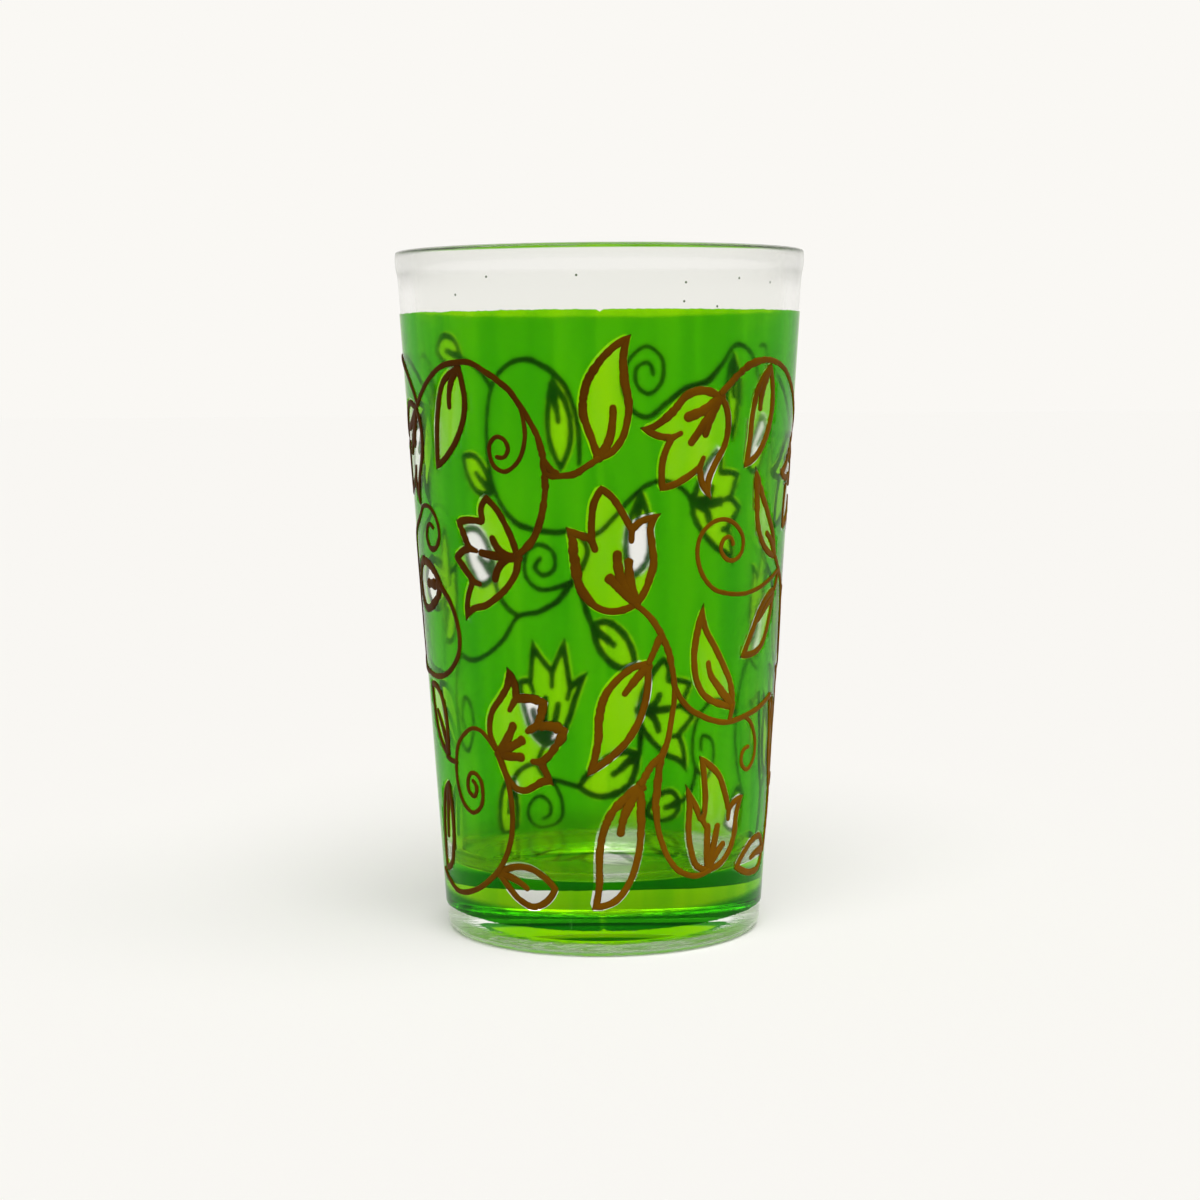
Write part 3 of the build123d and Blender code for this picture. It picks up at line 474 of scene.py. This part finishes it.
def ring(ink, runs, facing):
    """Outline of a motif along its drawn line, with pointed tips."""
    width = bpy.context.scene.tea_ink.outline
    reach = bpy.context.scene.tea_ink.reach
    half = width / 2
    inset = half - reach
    lines, normals, inward = closed_loop(runs, LINE_STEP)
    edge = np.array([point for line in lines for point in line])

    def room(point):
        return np.sqrt(((edge - np.array(point)) ** 2).sum(axis=1).min())

    paths = [[]]
    count = len(lines)
    for i, (line, normal) in enumerate(zip(lines, normals)):
        paths[-1] += [p + n * inset for p, n in zip(line, normal)]
        corner = line[-1]
        before = line[-1] - line[-2]
        after = lines[(i + 1) % count][1] - corner
        if before.cross(after) * inward > 0:
            paths.append([])
        else:
            middle = (normal[-1] + normals[(i + 1) % count][0]).normalized()
            paths[-1].append(corner + middle * inset)
    if len(paths) > 1 and paths[-1]:
        paths[0] = paths.pop() + paths[0]
    for path in paths:
        line = [point for point in path if room(point) > EDGE_ROOM * inset]
        if len(line) > 2:
            ink.brush(line, width, width, facing)
    for i, (line, normal) in enumerate(zip(lines, normals)):
        corner = line[-1]
        before = (line[-2] - corner).normalized()
        after = (lines[(i + 1) % count][1] - corner).normalized()
        if -before.cross(after) * inward > 0:
            middle = (before + after).normalized()
            sine = max(TIP_SINE, abs(before.cross(middle)))
            depth = half / sine
            point = corner - middle * reach / sine
            tip = [point + middle * depth * share for share in TIP_SHARES]
            ink.stroke(tip, [half * share for share in TIP_SHARES], facing)


def window(runs, facing):
    """Edge of the hole in the lacquer around a motif, as angles and heights."""
    coat = bpy.context.scene.tea_coat
    reach = bpy.context.scene.tea_ink.reach
    lines, normals, inward = closed_loop(runs, WINDOW_STEP)
    edge = []
    for line, normal in zip(lines, normals):
        for point, inside in zip(line[:-1], normal[:-1]):
            shift = reach + coat.margin + coat.slip * max(0.0, -inside.dot(SLIP_TO))
            edge.append(point - inside * shift)
    return [(radians(facing) + p.x / wall_radius(p.y), p.y) for p in edge]


def leaf_runs(leaf):
    base, one_side, tip, other_side, vein = leaf
    return [[base] + one_side + [tip], [tip] + other_side + [base]]


def tulip_runs(base, runs):
    starts = [base] + [run[-1] for run in runs[:-1]]
    return [[start] + run for start, run in zip(starts, runs[:-1] + [runs[-1] + [base]])]


def motifs():
    """Every leaf and tulip as its facing angle, runs, notch strokes and inner strokes."""
    found = {"leaf": [], "tulip": []}
    for leaf in LEAVES:
        found["leaf"].append((leaf_runs(leaf), [], [leaf[4]]))
    for base, runs, notches, stamens, places in TULIPS:
        whole = tulip_runs(base, runs)
        for place in places:
            found["tulip"].append(tuple([moved(line, *place) for line in lines]
                                        for lines in (whole, notches, stamens)))
    flattened = {}
    for kind, drawings in found.items():
        flattened[kind] = []
        for drawing in drawings:
            facing = middle_angle([point for run in drawing[0] for point in run])
            flattened[kind].append((facing, *([flat(line, facing) for line in lines]
                                              for lines in drawing)))
    return flattened


def add_piece(name, bm, material, node):
    """Link the finished mesh as a piece that stands for a CAD node."""
    mesh = bpy.data.meshes.new(name)
    for face in bm.faces:
        face.smooth = True
    bm.to_mesh(mesh)
    bm.free()
    if not mesh.polygons:
        raise RuntimeError(name + " has no faces")
    mesh.materials.append(material)
    piece = bpy.data.objects.new(name, mesh)
    bpy.context.scene.collection.objects.link(piece)
    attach(piece, "root")
    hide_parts(node)
    return piece


class Shade:
    """Socket of a node tree; arithmetic on it adds Math nodes."""

    def __init__(self, tree, socket=None):
        self.tree = tree
        self.socket = socket

    def node(self, kind, settings=None, sockets=None, out=0):
        made = self.tree.nodes.new(kind)
        for name, value in (settings or {}).items():
            setattr(made, name, value)
        for name, value in (sockets or {}).items():
            if isinstance(value, Shade):
                self.tree.links.new(value.socket, made.inputs[name])
            else:
                made.inputs[name].default_value = value
        return Shade(self.tree, made.outputs[out] if made.outputs else None)

    def math(self, operation, first, second=0.0):
        return self.node("ShaderNodeMath", {"operation": operation}, {0: first, 1: second})

    def ramp(self, start, end):
        """Smooth rise from 0 at the start to 1 at the end."""
        return self.node("ShaderNodeMapRange", {"interpolation_type": "SMOOTHSTEP"},
                         {"Value": self, "From Min": start, "From Max": end})

    def __add__(self, other):
        return self.math("ADD", self, other)

    def __sub__(self, other):
        return self.math("SUBTRACT", self, other)

    def __rsub__(self, other):
        return self.math("SUBTRACT", other, self)

    def __mul__(self, other):
        return self.math("MULTIPLY", self, other)

    __radd__ = __add__
    __rmul__ = __mul__


def new_material(name):
    material = bpy.data.materials.new(name)
    material.use_nodes = True
    material.node_tree.nodes.clear()
    return material, Shade(material.node_tree)


# Roughness of the wall, the lip and the underside, and the heights in mm between which it comes in
WALL_HAZE = (0.07, 11, 15)
LIP_HAZE = (0.12, 84, 87)
UNDER_HAZE = (0.3, 0.95, 0.6)

# Pressed mottle of the underside: scale, strength and depth
MOTTLE = (600.0, 0.8, 0.5 * MM)

# Specks in the clear band under the rim, as angle and height in mm, and their radius
SPECKS = [(-42.7, 83.9), (-31.6, 86), (-6.1, 86), (23.1, 82.8), (23.5, 85.1), (33.4, 82.2),
          (40.7, 85.7), (54, 85.3)]
SPECK = 0.15 * MM


def clear_glass():
    """Pressed clear glass, rough underneath."""
    material, shade = new_material("pressed_glass")
    place = shade.node("ShaderNodeTexCoord", None, None, "Object")
    height = shade.node("ShaderNodeSeparateXYZ", None, {"Vector": place}, "Z")
    wall, lip, under = [height.ramp(low * MM, high * MM)
                        for haze, low, high in (WALL_HAZE, LIP_HAZE, UNDER_HAZE)]
    haze = wall * WALL_HAZE[0] + lip * LIP_HAZE[0] + under * UNDER_HAZE[0]
    scale, strength, depth = MOTTLE
    mottle = shade.node("ShaderNodeTexNoise", None, {"Vector": place, "Scale": scale, "Detail": 2.0})
    bumps = shade.node("ShaderNodeBump", None, {
        "Strength": strength, "Distance": depth, "Height": mottle * under})
    speck = 0
    for angle, z in SPECKS:
        spot = wound(Vector((0.0, z * MM, 0.0)), angle)
        far = shade.node("ShaderNodeVectorMath", {"operation": "DISTANCE"}, {0: place, 1: spot}, "Value")
        speck = speck + far.ramp(1.2 * SPECK, 0.8 * SPECK)
    base = shade.node("ShaderNodeMix", {"data_type": "RGBA"}, {
        0: speck, 6: (0.94, 0.945, 0.93, 1.0), 7: (0.02, 0.04, 0.01, 1.0)}, 2)
    surface = shade.node("ShaderNodeBsdfPrincipled", None, {
        "Base Color": base, "Roughness": haze, "IOR": 1.5, "Specular Tint": (0.06, 0.06, 0.06, 1.0),
        "Transmission Weight": 1.0, "Normal": bumps})
    shade.node("ShaderNodeOutputMaterial", None, {"Surface": surface})
    return material


# Streaks in the lacquer: scale of the noise and how much they are drawn out in height
STREAK_SCALE = 260.0
STREAK_DRAWN = (1.0, 1.0, 0.1)

# Heights between which painted shade darkens the lacquer towards its lower edge
FOOT_SHADE_TOP = 6.4 * MM
FOOT_SHADE_FULL = 5.2 * MM

# Half width of the joint at the front, from its edge to its clear middle, and its strength
JOINT_EDGE = 0.7 * MM
JOINT_MIDDLE = 0.2 * MM
JOINT_SHARE = 0.4


def green_lacquer():
    """Clear green film with a gloss, streaked up and down, with painted shade along its lower edge."""
    coat = bpy.context.scene.tea_coat
    material, shade = new_material("lacquer_film")
    place = shade.node("ShaderNodeTexCoord", None, None, "Object")
    drawn = shade.node("ShaderNodeVectorMath", {"operation": "MULTIPLY"}, {0: place, 1: STREAK_DRAWN})
    streaks = shade.node("ShaderNodeTexNoise", None,
                         {"Vector": drawn, "Scale": STREAK_SCALE, "Detail": 3.0})
    thin = shade.node("ShaderNodeBsdfTransparent", None, {"Color": (*coat.thin, 1.0)})
    thick = shade.node("ShaderNodeBsdfTransparent", None, {"Color": (*coat.thick, 1.0)})
    sheet = shade.node("ShaderNodeMixShader", None, {0: streaks.ramp(0.3, 0.7), 1: thin, 2: thick})
    height = shade.node("ShaderNodeSeparateXYZ", None, {"Vector": place}, "Z")
    # Painted shade: the film darkens towards its lower edge, near the foot
    shaded_film = shade.node("ShaderNodeBsdfTransparent", None, {"Color": (*coat.foot_shade, 1.0)})
    run = shade.node("ShaderNodeMixShader", None, {0: height.ramp(FOOT_SHADE_TOP, FOOT_SHADE_FULL), 1: sheet, 2: shaded_film})
    pale = shade.node("ShaderNodeBsdfTransparent", None, {"Color": (*coat.joint, 1.0)})
    side = shade.node("ShaderNodeSeparateXYZ", None, {"Vector": place}, "X")
    front = shade.node("ShaderNodeSeparateXYZ", None, {"Vector": place}, "Y").ramp(0.0, -5 * MM)
    middle = shade.math("ABSOLUTE", side).ramp(JOINT_EDGE, JOINT_MIDDLE)
    joint = middle * front * streaks.ramp(0.4, 0.6) * JOINT_SHARE
    film = shade.node("ShaderNodeMixShader", None, {0: joint, 1: run, 2: pale})
    gloss = shade.node("ShaderNodeBsdfGlossy", None, {"Roughness": 0.08})
    fresnel = shade.node("ShaderNodeFresnel", None, {"IOR": 1.15})
    inner = shade.node("ShaderNodeNewGeometry", None, None, "Backfacing")
    both = shade.node("ShaderNodeMixShader", None, {0: fresnel * (1 - inner), 1: film, 2: gloss})
    shade.node("ShaderNodeOutputMaterial", None, {"Surface": both})
    return material


# Where the ink is thin: share of the cloudy noise and its level; then painted light: how much lighter the ink
# gets per metre to the right and below the middle height
CLOUD = (0.9, -0.15)
PAINTED_LIGHT_RIGHT = 15.0
PAINTED_LIGHT_DOWN = 6.2
PAINTED_LIGHT_MIDDLE = 50 * MM


def bronze_ink():
    """Satin bronze-brown ink, shared by every printed piece; painted light makes it lighter to the right and
    below, and painted shade darkens its inner face.
    """
    if "vine_ink" in bpy.data.materials:
        return bpy.data.materials["vine_ink"]
    ink = bpy.context.scene.tea_ink
    material, shade = new_material("vine_ink")
    place = shade.node("ShaderNodeTexCoord", None, None, "Object")
    height = shade.node("ShaderNodeSeparateXYZ", None, {"Vector": place}, "Z")
    cloud = shade.node("ShaderNodeTexNoise", None, {"Vector": place, "Scale": 130.0, "Detail": 3.0})
    across = shade.node("ShaderNodeSeparateXYZ", None, {"Vector": place}, "X")
    # Painted light: the ink turns lighter to the right and below the middle height
    spread = across * PAINTED_LIGHT_RIGHT + (PAINTED_LIGHT_MIDDLE - height) * PAINTED_LIGHT_DOWN
    thinness_and_painted_light = cloud * CLOUD[0] + CLOUD[1] + spread
    printed = shade.node("ShaderNodeMix", {"data_type": "RGBA"},
                         {0: thinness_and_painted_light, 6: (*ink.dark, 1.0), 7: (*ink.light, 1.0)}, 2)
    normal = shade.node("ShaderNodeNewGeometry", None, None, "True Normal")
    outward = shade.node("ShaderNodeVectorMath", {"operation": "MULTIPLY"}, {0: place, 1: (1.0, 1.0, 0.0)})
    turned = shade.node("ShaderNodeVectorMath", {"operation": "DOT_PRODUCT"},
                        {0: normal, 1: outward}, "Value")
    # Painted shade: where the ink faces into the glass it takes the dark green inner colour
    inside = shade.math("LESS_THAN", turned, 0.0)
    base = shade.node("ShaderNodeMix", {"data_type": "RGBA"},
                      {0: inside, 6: printed, 7: (*ink.under, 1.0)}, 2)
    surface = shade.node("ShaderNodeBsdfPrincipled", None, {
        "Base Color": base, "Roughness": 0.5, "Specular IOR Level": 0.02})
    shade.node("ShaderNodeOutputMaterial", None, {"Surface": surface})
    return material


# Points of the hollow, the bead and a turn of the glass, and segments of its rounds
HOLLOW_STEPS = 8
BEAD_STEPS = 12
TURN_STEPS = 192
HEEL_SEGMENTS = 8
CORNER_SEGMENTS = 12
LIP_SEGMENTS = 8

# Straight runs longer than these are cut: the wall, then the floor
WALL_RUN = (30 * MM, 40)
FLOOR_RUN = (4 * MM, 8)

# Points closer than this are one
GLASS_MERGE = 0.001 * MM


class TEAGLASS_OT_glass(bpy.types.Operator):
    """Turn the clear glass body"""
    bl_idname = "teaglass.glass"
    bl_label = "Glass"

    def execute(self, context):
        sizes = context.scene.tea_glass
        top = sizes.height
        bead_low = top - sizes.bead_height
        rise = (sizes.hollow_radius ** 2 + sizes.hollow_depth ** 2) / (2 * sizes.hollow_depth)
        hollow = []
        for i in range(HOLLOW_STEPS):
            radius = sizes.hollow_radius * i / HOLLOW_STEPS
            hollow.append((radius, sizes.hollow_depth - rise + (rise ** 2 - radius ** 2) ** 0.5))
        bead = []
        for i in range(1, BEAD_STEPS):
            z = bead_low + (top - bead_low) * i / BEAD_STEPS
            swell = sin(radians(180 * i / BEAD_STEPS))
            swell = swell if i > BEAD_STEPS / 2 else swell ** 2
            bead.append((wall_radius(z) + sizes.bead_proud * swell, z))
        inner_top = sizes.rim_radius - sizes.wall
        inner_floor = wall_radius(sizes.floor) - sizes.wall
        points = hollow + [(sizes.hollow_radius, 0.0), (sizes.base_radius, 0.0)]
        points += [(wall_radius(bead_low), bead_low)] + bead
        points += [(sizes.rim_radius, top), (inner_top, top), (inner_floor, sizes.floor),
                   (0.0, sizes.floor)]
        bm = bmesh.new()
        chain = [bm.verts.new((x, 0.0, z)) for x, z in points]
        for a, b in zip(chain, chain[1:]):
            bm.edges.new((a, b))
        heel = chain[len(hollow) + 1]
        corner = chain[-2]
        lips = chain[-4:-2]
        for verts, size, segments in (([heel], sizes.heel, HEEL_SEGMENTS),
                                      ([corner], sizes.floor_corner, CORNER_SEGMENTS),
                                      (lips, sizes.lip, LIP_SEGMENTS)):
            bmesh.ops.bevel(bm, geom=verts, offset=size, offset_type="OFFSET", segments=segments,
                            profile=0.5, affect="VERTICES", material=-1)
        for run, cuts in (WALL_RUN, FLOOR_RUN):
            long_edges = [edge for edge in bm.edges if edge.calc_length() > run]
            bmesh.ops.subdivide_edges(bm, edges=long_edges, cuts=cuts, use_grid_fill=False)
        bmesh.ops.spin(bm, geom=list(bm.verts) + list(bm.edges), cent=(0, 0, 0), axis=(0, 0, 1),
                       angle=radians(360), steps=TURN_STEPS, use_merge=True)
        bmesh.ops.remove_doubles(bm, verts=bm.verts, dist=GLASS_MERGE)
        bmesh.ops.recalc_face_normals(bm, faces=bm.faces)
        add_piece("glass", bm, clear_glass(), "glass_body")
        return {"FINISHED"}


# Points of the lacquer's edge, and its waves as a size in mm and a share of the wear
EDGE_STEPS = 720
EDGE_WAVES = ((5, 1.0), (1.3, 0.4))

# The notch at the joint: its half width as the sine of half the angle, its depth in wears
NOTCH_SINE = 0.008
NOTCH_DEPTH = 2

# Turn between the cuts that let the flat sheet bend, share of the film that is solid, and
# the distance below which points are one
BEND_STEP = radians(2.5)
FILM_SHARE = 0.8
SHEET_MERGE = 0.002 * MM


def worn_edge(start, end, z, wear):
    """Wavy edge of the lacquer from one angle to another."""
    edge = []
    for i in range(1, EDGE_STEPS):
        angle = start + (end - start) * i / EDGE_STEPS
        place = wound(Vector((0.0, z, 0.0)), degrees(angle)) / MM
        wave = sum(share * abs(noise.noise(place / size)) for size, share in EDGE_WAVES)
        notch = max(0.0, 1 - abs(sin(angle / 2)) / NOTCH_SINE)
        edge.append((angle, z + wear * (min(wave, 1.0) + NOTCH_DEPTH * notch)))
    return edge


class TEAGLASS_OT_lacquer(bpy.types.Operator):
    """Lay the green lacquer band with its windows"""
    bl_idname = "teaglass.lacquer"
    bl_label = "Lacquer band"

    def execute(self, context):
        coat = context.scene.tea_coat
        turn = radians(360)
        across = wall_radius((coat.low + coat.high) / 2)
        seam = [(radians(angle), z * MM) for angle, z in COAT_JOINT]
        top = worn_edge(seam[-1][0], seam[-1][0] + turn, coat.high, -coat.wear)
        bottom = worn_edge(seam[0][0] + turn, seam[0][0], coat.low, coat.wear)
        border = seam + top + [(angle + turn, z) for angle, z in seam[::-1]] + bottom
        loops = [border]
        for drawings in motifs().values():
            for facing, runs, notches, strokes in drawings:
                edge = window(runs, facing)
                middle = sum(angle for angle, z in edge) / len(edge)
                around = turn * round((middle - radians(COAT_JOINT[0][0]) - turn / 2) / turn)
                loops.append([(angle - around, z) for angle, z in edge])
        paths = [([Vector((angle * across, z)) for angle, z in loop], [1.0] * len(loop))
                 for loop in loops]
        mesh = curve_mesh(paths, True, dimensions="2D", fill_mode="BOTH")
        bm = bmesh.new()
        bm.from_mesh(mesh)
        bpy.data.meshes.remove(mesh)
        bmesh.ops.remove_doubles(bm, verts=bm.verts, dist=SHEET_MERGE)
        start = min(angle for angle, z in border)
        end = max(angle for angle, z in border)
        for i in range(1, ceil((end - start) / BEND_STEP)):
            bmesh.ops.bisect_plane(bm, geom=list(bm.verts) + list(bm.edges) + list(bm.faces),
                                   plane_co=((start + i * BEND_STEP) * across, 0, 0), plane_no=(1, 0, 0))
        for vertex in bm.verts:
            angle = vertex.co.x / across
            radius = wall_radius(vertex.co.y) + coat.thickness
            vertex.co = (radius * sin(angle), -radius * cos(angle), vertex.co.y)
        bmesh.ops.remove_doubles(bm, verts=bm.verts, dist=SHEET_MERGE)
        bmesh.ops.recalc_face_normals(bm, faces=bm.faces)
        piece = add_piece("lacquer", bm, green_lacquer(), "green_coat")
        skin = piece.modifiers.new("film", "SOLIDIFY")
        skin.thickness = coat.thickness * FILM_SHARE
        skin.offset = -1.0
        return {"FINISHED"}


class TEAGLASS_OT_vine(bpy.types.Operator):
    """Print the stems and the tendrils on the lacquer"""
    bl_idname = "teaglass.vine"
    bl_label = "Stems and tendrils"

    def execute(self, context):
        ink = context.scene.tea_ink
        coat = context.scene.tea_coat
        for name, node, lines, width in (("stems", "vine_stems", STEMS, ink.stem),
                                         ("tendrils", "tendril_curls", TENDRILS, ink.tendril)):
            pressed = Print(coat.thickness)
            for line in lines:
                facing = middle_angle(line)
                path = smooth_line(flat(line, facing), LINE_STEP)
                pressed.brush(path, width, width, facing)
            add_piece(name, pressed.bm, bronze_ink(), node)
        return {"FINISHED"}


def print_motifs(kind, outline, filling, base, tip):
    """Print one kind of motif: its outlines as one piece and the strokes inside as another."""
    ink = bpy.context.scene.tea_ink
    edges = Print(0.0)
    inner = Print(0.0)
    for facing, runs, notches, strokes in motifs()[kind]:
        ring(edges, runs, facing)
        for notch in notches:
            edges.brush(smooth_line(notch, LINE_STEP), ink.outline, ink.notch_tip, facing)
        for line in strokes:
            inner.brush(smooth_line(line, LINE_STEP), base, tip, facing)
    add_piece(outline[0], edges.bm, bronze_ink(), outline[1])
    add_piece(filling[0], inner.bm, bronze_ink(), filling[1])


class TEAGLASS_OT_leaves(bpy.types.Operator):
    """Print the leaves and their veins"""
    bl_idname = "teaglass.leaves"
    bl_label = "Leaves"

    def execute(self, context):
        ink = context.scene.tea_ink
        print_motifs("leaf", ("leaf_edges", "leaf_outlines"), ("leaf_lines", "leaf_veins"),
                     ink.vein_base, ink.vein_tip)
        return {"FINISHED"}


class TEAGLASS_OT_tulips(bpy.types.Operator):
    """Print the tulips and their stamens"""
    bl_idname = "teaglass.tulips"
    bl_label = "Tulips"

    def execute(self, context):
        ink = context.scene.tea_ink
        print_motifs("tulip", ("tulip_edges", "tulip_outlines"), ("stamens", "tulip_stamens"),
                     ink.stamen_base, ink.stamen_tip)
        return {"FINISHED"}


# Shares of the light on the floor: the world's, then each lamp's with its spread and direction
FILL = 0.12
LAMPS = [("key", 0.26, 40, (0.42, -0.2, 1.0)), ("front", 0.62, 45, (0.0, -0.6, 1.0))]

# Part of the floor's brightness that shadow doesn't take, in the open and under the glass, and
# the distances from the middle between which it changes
GLOW = (0.42, 0.04)
GLOW_NEAR = 18 * MM
GLOW_FAR = 26 * MM

# The foot meets the floor without a film of air
CONTACT = 0.03 * MM

# Half the width of the floor
FLOOR_REACH = 3.0


def seen_ray(shade):
    """1 where the backdrop is seen, straight or in the glass, and 0 where it only lights."""
    rays = (shade.node("ShaderNodeLightPath", None, None, "Is Camera Ray")
            + shade.node("ShaderNodeLightPath", None, None, "Is Glossy Ray")
            + shade.node("ShaderNodeLightPath", None, None, "Is Transmission Ray"))
    return shade.math("MINIMUM", rays, 1.0)


class TEAGLASS_OT_stage(bpy.types.Operator):
    """Set up the floor, the light and the camera"""
    bl_idname = "teaglass.stage"
    bl_label = "Floor, light and camera"

    def execute(self, context):
        scene = context.scene
        stage = scene.tea_stage
        scene.view_settings.view_transform = "Standard"

        material, shade = new_material("paper")
        plain = shade.node("ShaderNodeBsdfDiffuse", None, {"Color": (0.99, 0.99, 0.99, 1.0)})
        lit = shade.node("ShaderNodeEmission", None, {"Color": (*stage.paper, 1.0), "Strength": 0.99})
        place = shade.node("ShaderNodeTexCoord", None, None, "Object")
        away = shade.node("ShaderNodeVectorMath", {"operation": "LENGTH"}, {0: place}, "Value")
        glow = away.ramp(GLOW_NEAR, GLOW_FAR) * (GLOW[0] - GLOW[1]) + GLOW[1]
        surface = shade.node("ShaderNodeMixShader", None, {0: glow * seen_ray(shade), 1: plain, 2: lit})
        shade.node("ShaderNodeOutputMaterial", None, {"Surface": surface})
        bm = bmesh.new()
        bmesh.ops.create_grid(bm, x_segments=4, y_segments=4, size=FLOOR_REACH)
        mesh = bpy.data.meshes.new("floor")
        bm.to_mesh(mesh)
        bm.free()
        mesh.materials.append(material)
        floor = bpy.data.objects.new("floor", mesh)
        floor.location.z = CONTACT
        scene.collection.objects.link(floor)

        world = bpy.data.worlds.new("studio")
        world.use_nodes = True
        world.node_tree.nodes.clear()
        scene.world = world
        shade = Shade(world.node_tree)
        pale = shade.node("ShaderNodeBackground", None, {"Color": (*stage.paper, 1.0), "Strength": 1.0})
        fill = shade.node("ShaderNodeBackground", None, {"Color": (*stage.paper, 1.0), "Strength": FILL})
        both = shade.node("ShaderNodeMixShader", None, {0: seen_ray(shade), 1: fill, 2: pale})
        shade.node("ShaderNodeOutputWorld", None, {"Surface": both})

        for name, share, spread, toward in LAMPS:
            lamp = bpy.data.lights.new(name, "SUN")
            lamp.energy = share * pi / Vector(toward).normalized().z
            lamp.color = stage.paper
            lamp.angle = radians(spread)
            holder = bpy.data.objects.new(name, lamp)
            holder.rotation_euler = Vector(toward).to_track_quat("Z", "Y").to_euler()
            holder.visible_glossy = False
            scene.collection.objects.link(holder)

        scene.cycles.max_bounces = 32
        scene.cycles.glossy_bounces = 16
        scene.cycles.transmission_bounces = 24
        scene.cycles.transparent_max_bounces = 16

        view = bpy.data.cameras.new("camera")
        view.lens = stage.lens
        view.sensor_width = 36.0
        view.sensor_fit = "HORIZONTAL"
        view.clip_start = 0.01
        camera = bpy.data.objects.new("camera", view)
        camera.rotation_mode = "XYZ"
        camera.rotation_euler = (radians(90) - stage.pitch, stage.roll, 0.0)
        camera.location = (0.0, -stage.camera_back, stage.camera_height)
        scene.collection.objects.link(camera)
        scene.camera = camera
        return {"FINISHED"}


class TEAGLASS_PT_panel(bpy.types.Panel):
    """Lists the pieces of the tea glass"""
    bl_label = "Tea glass"
    bl_idname = "TEAGLASS_PT_panel"
    bl_space_type = "VIEW_3D"
    bl_region_type = "UI"
    bl_category = "Tea glass"

    def draw(self, context):
        for operator in OPERATORS:
            self.layout.operator(operator.bl_idname)


OPERATORS = (TEAGLASS_OT_glass, TEAGLASS_OT_lacquer, TEAGLASS_OT_vine, TEAGLASS_OT_leaves,
             TEAGLASS_OT_tulips, TEAGLASS_OT_stage)
SETTINGS = {"tea_glass": GlassSizes, "tea_coat": CoatSizes, "tea_ink": InkSizes,
            "tea_stage": StageSizes}


def register():
    for name, group in SETTINGS.items():
        bpy.utils.register_class(group)
        setattr(bpy.types.Scene, name, bpy.props.PointerProperty(type=group))
    for cls in OPERATORS + (TEAGLASS_PT_panel,):
        bpy.utils.register_class(cls)


def unregister():
    for cls in (TEAGLASS_PT_panel,) + OPERATORS[::-1]:
        bpy.utils.unregister_class(cls)
    for name, group in SETTINGS.items():
        delattr(bpy.types.Scene, name)
        bpy.utils.unregister_class(group)


def main():
    register()
    bpy.ops.teaglass.glass()
    bpy.ops.teaglass.lacquer()
    bpy.ops.teaglass.vine()
    bpy.ops.teaglass.leaves()
    bpy.ops.teaglass.tulips()
    bpy.ops.teaglass.stage()


if __name__ == "__main__":
    main()
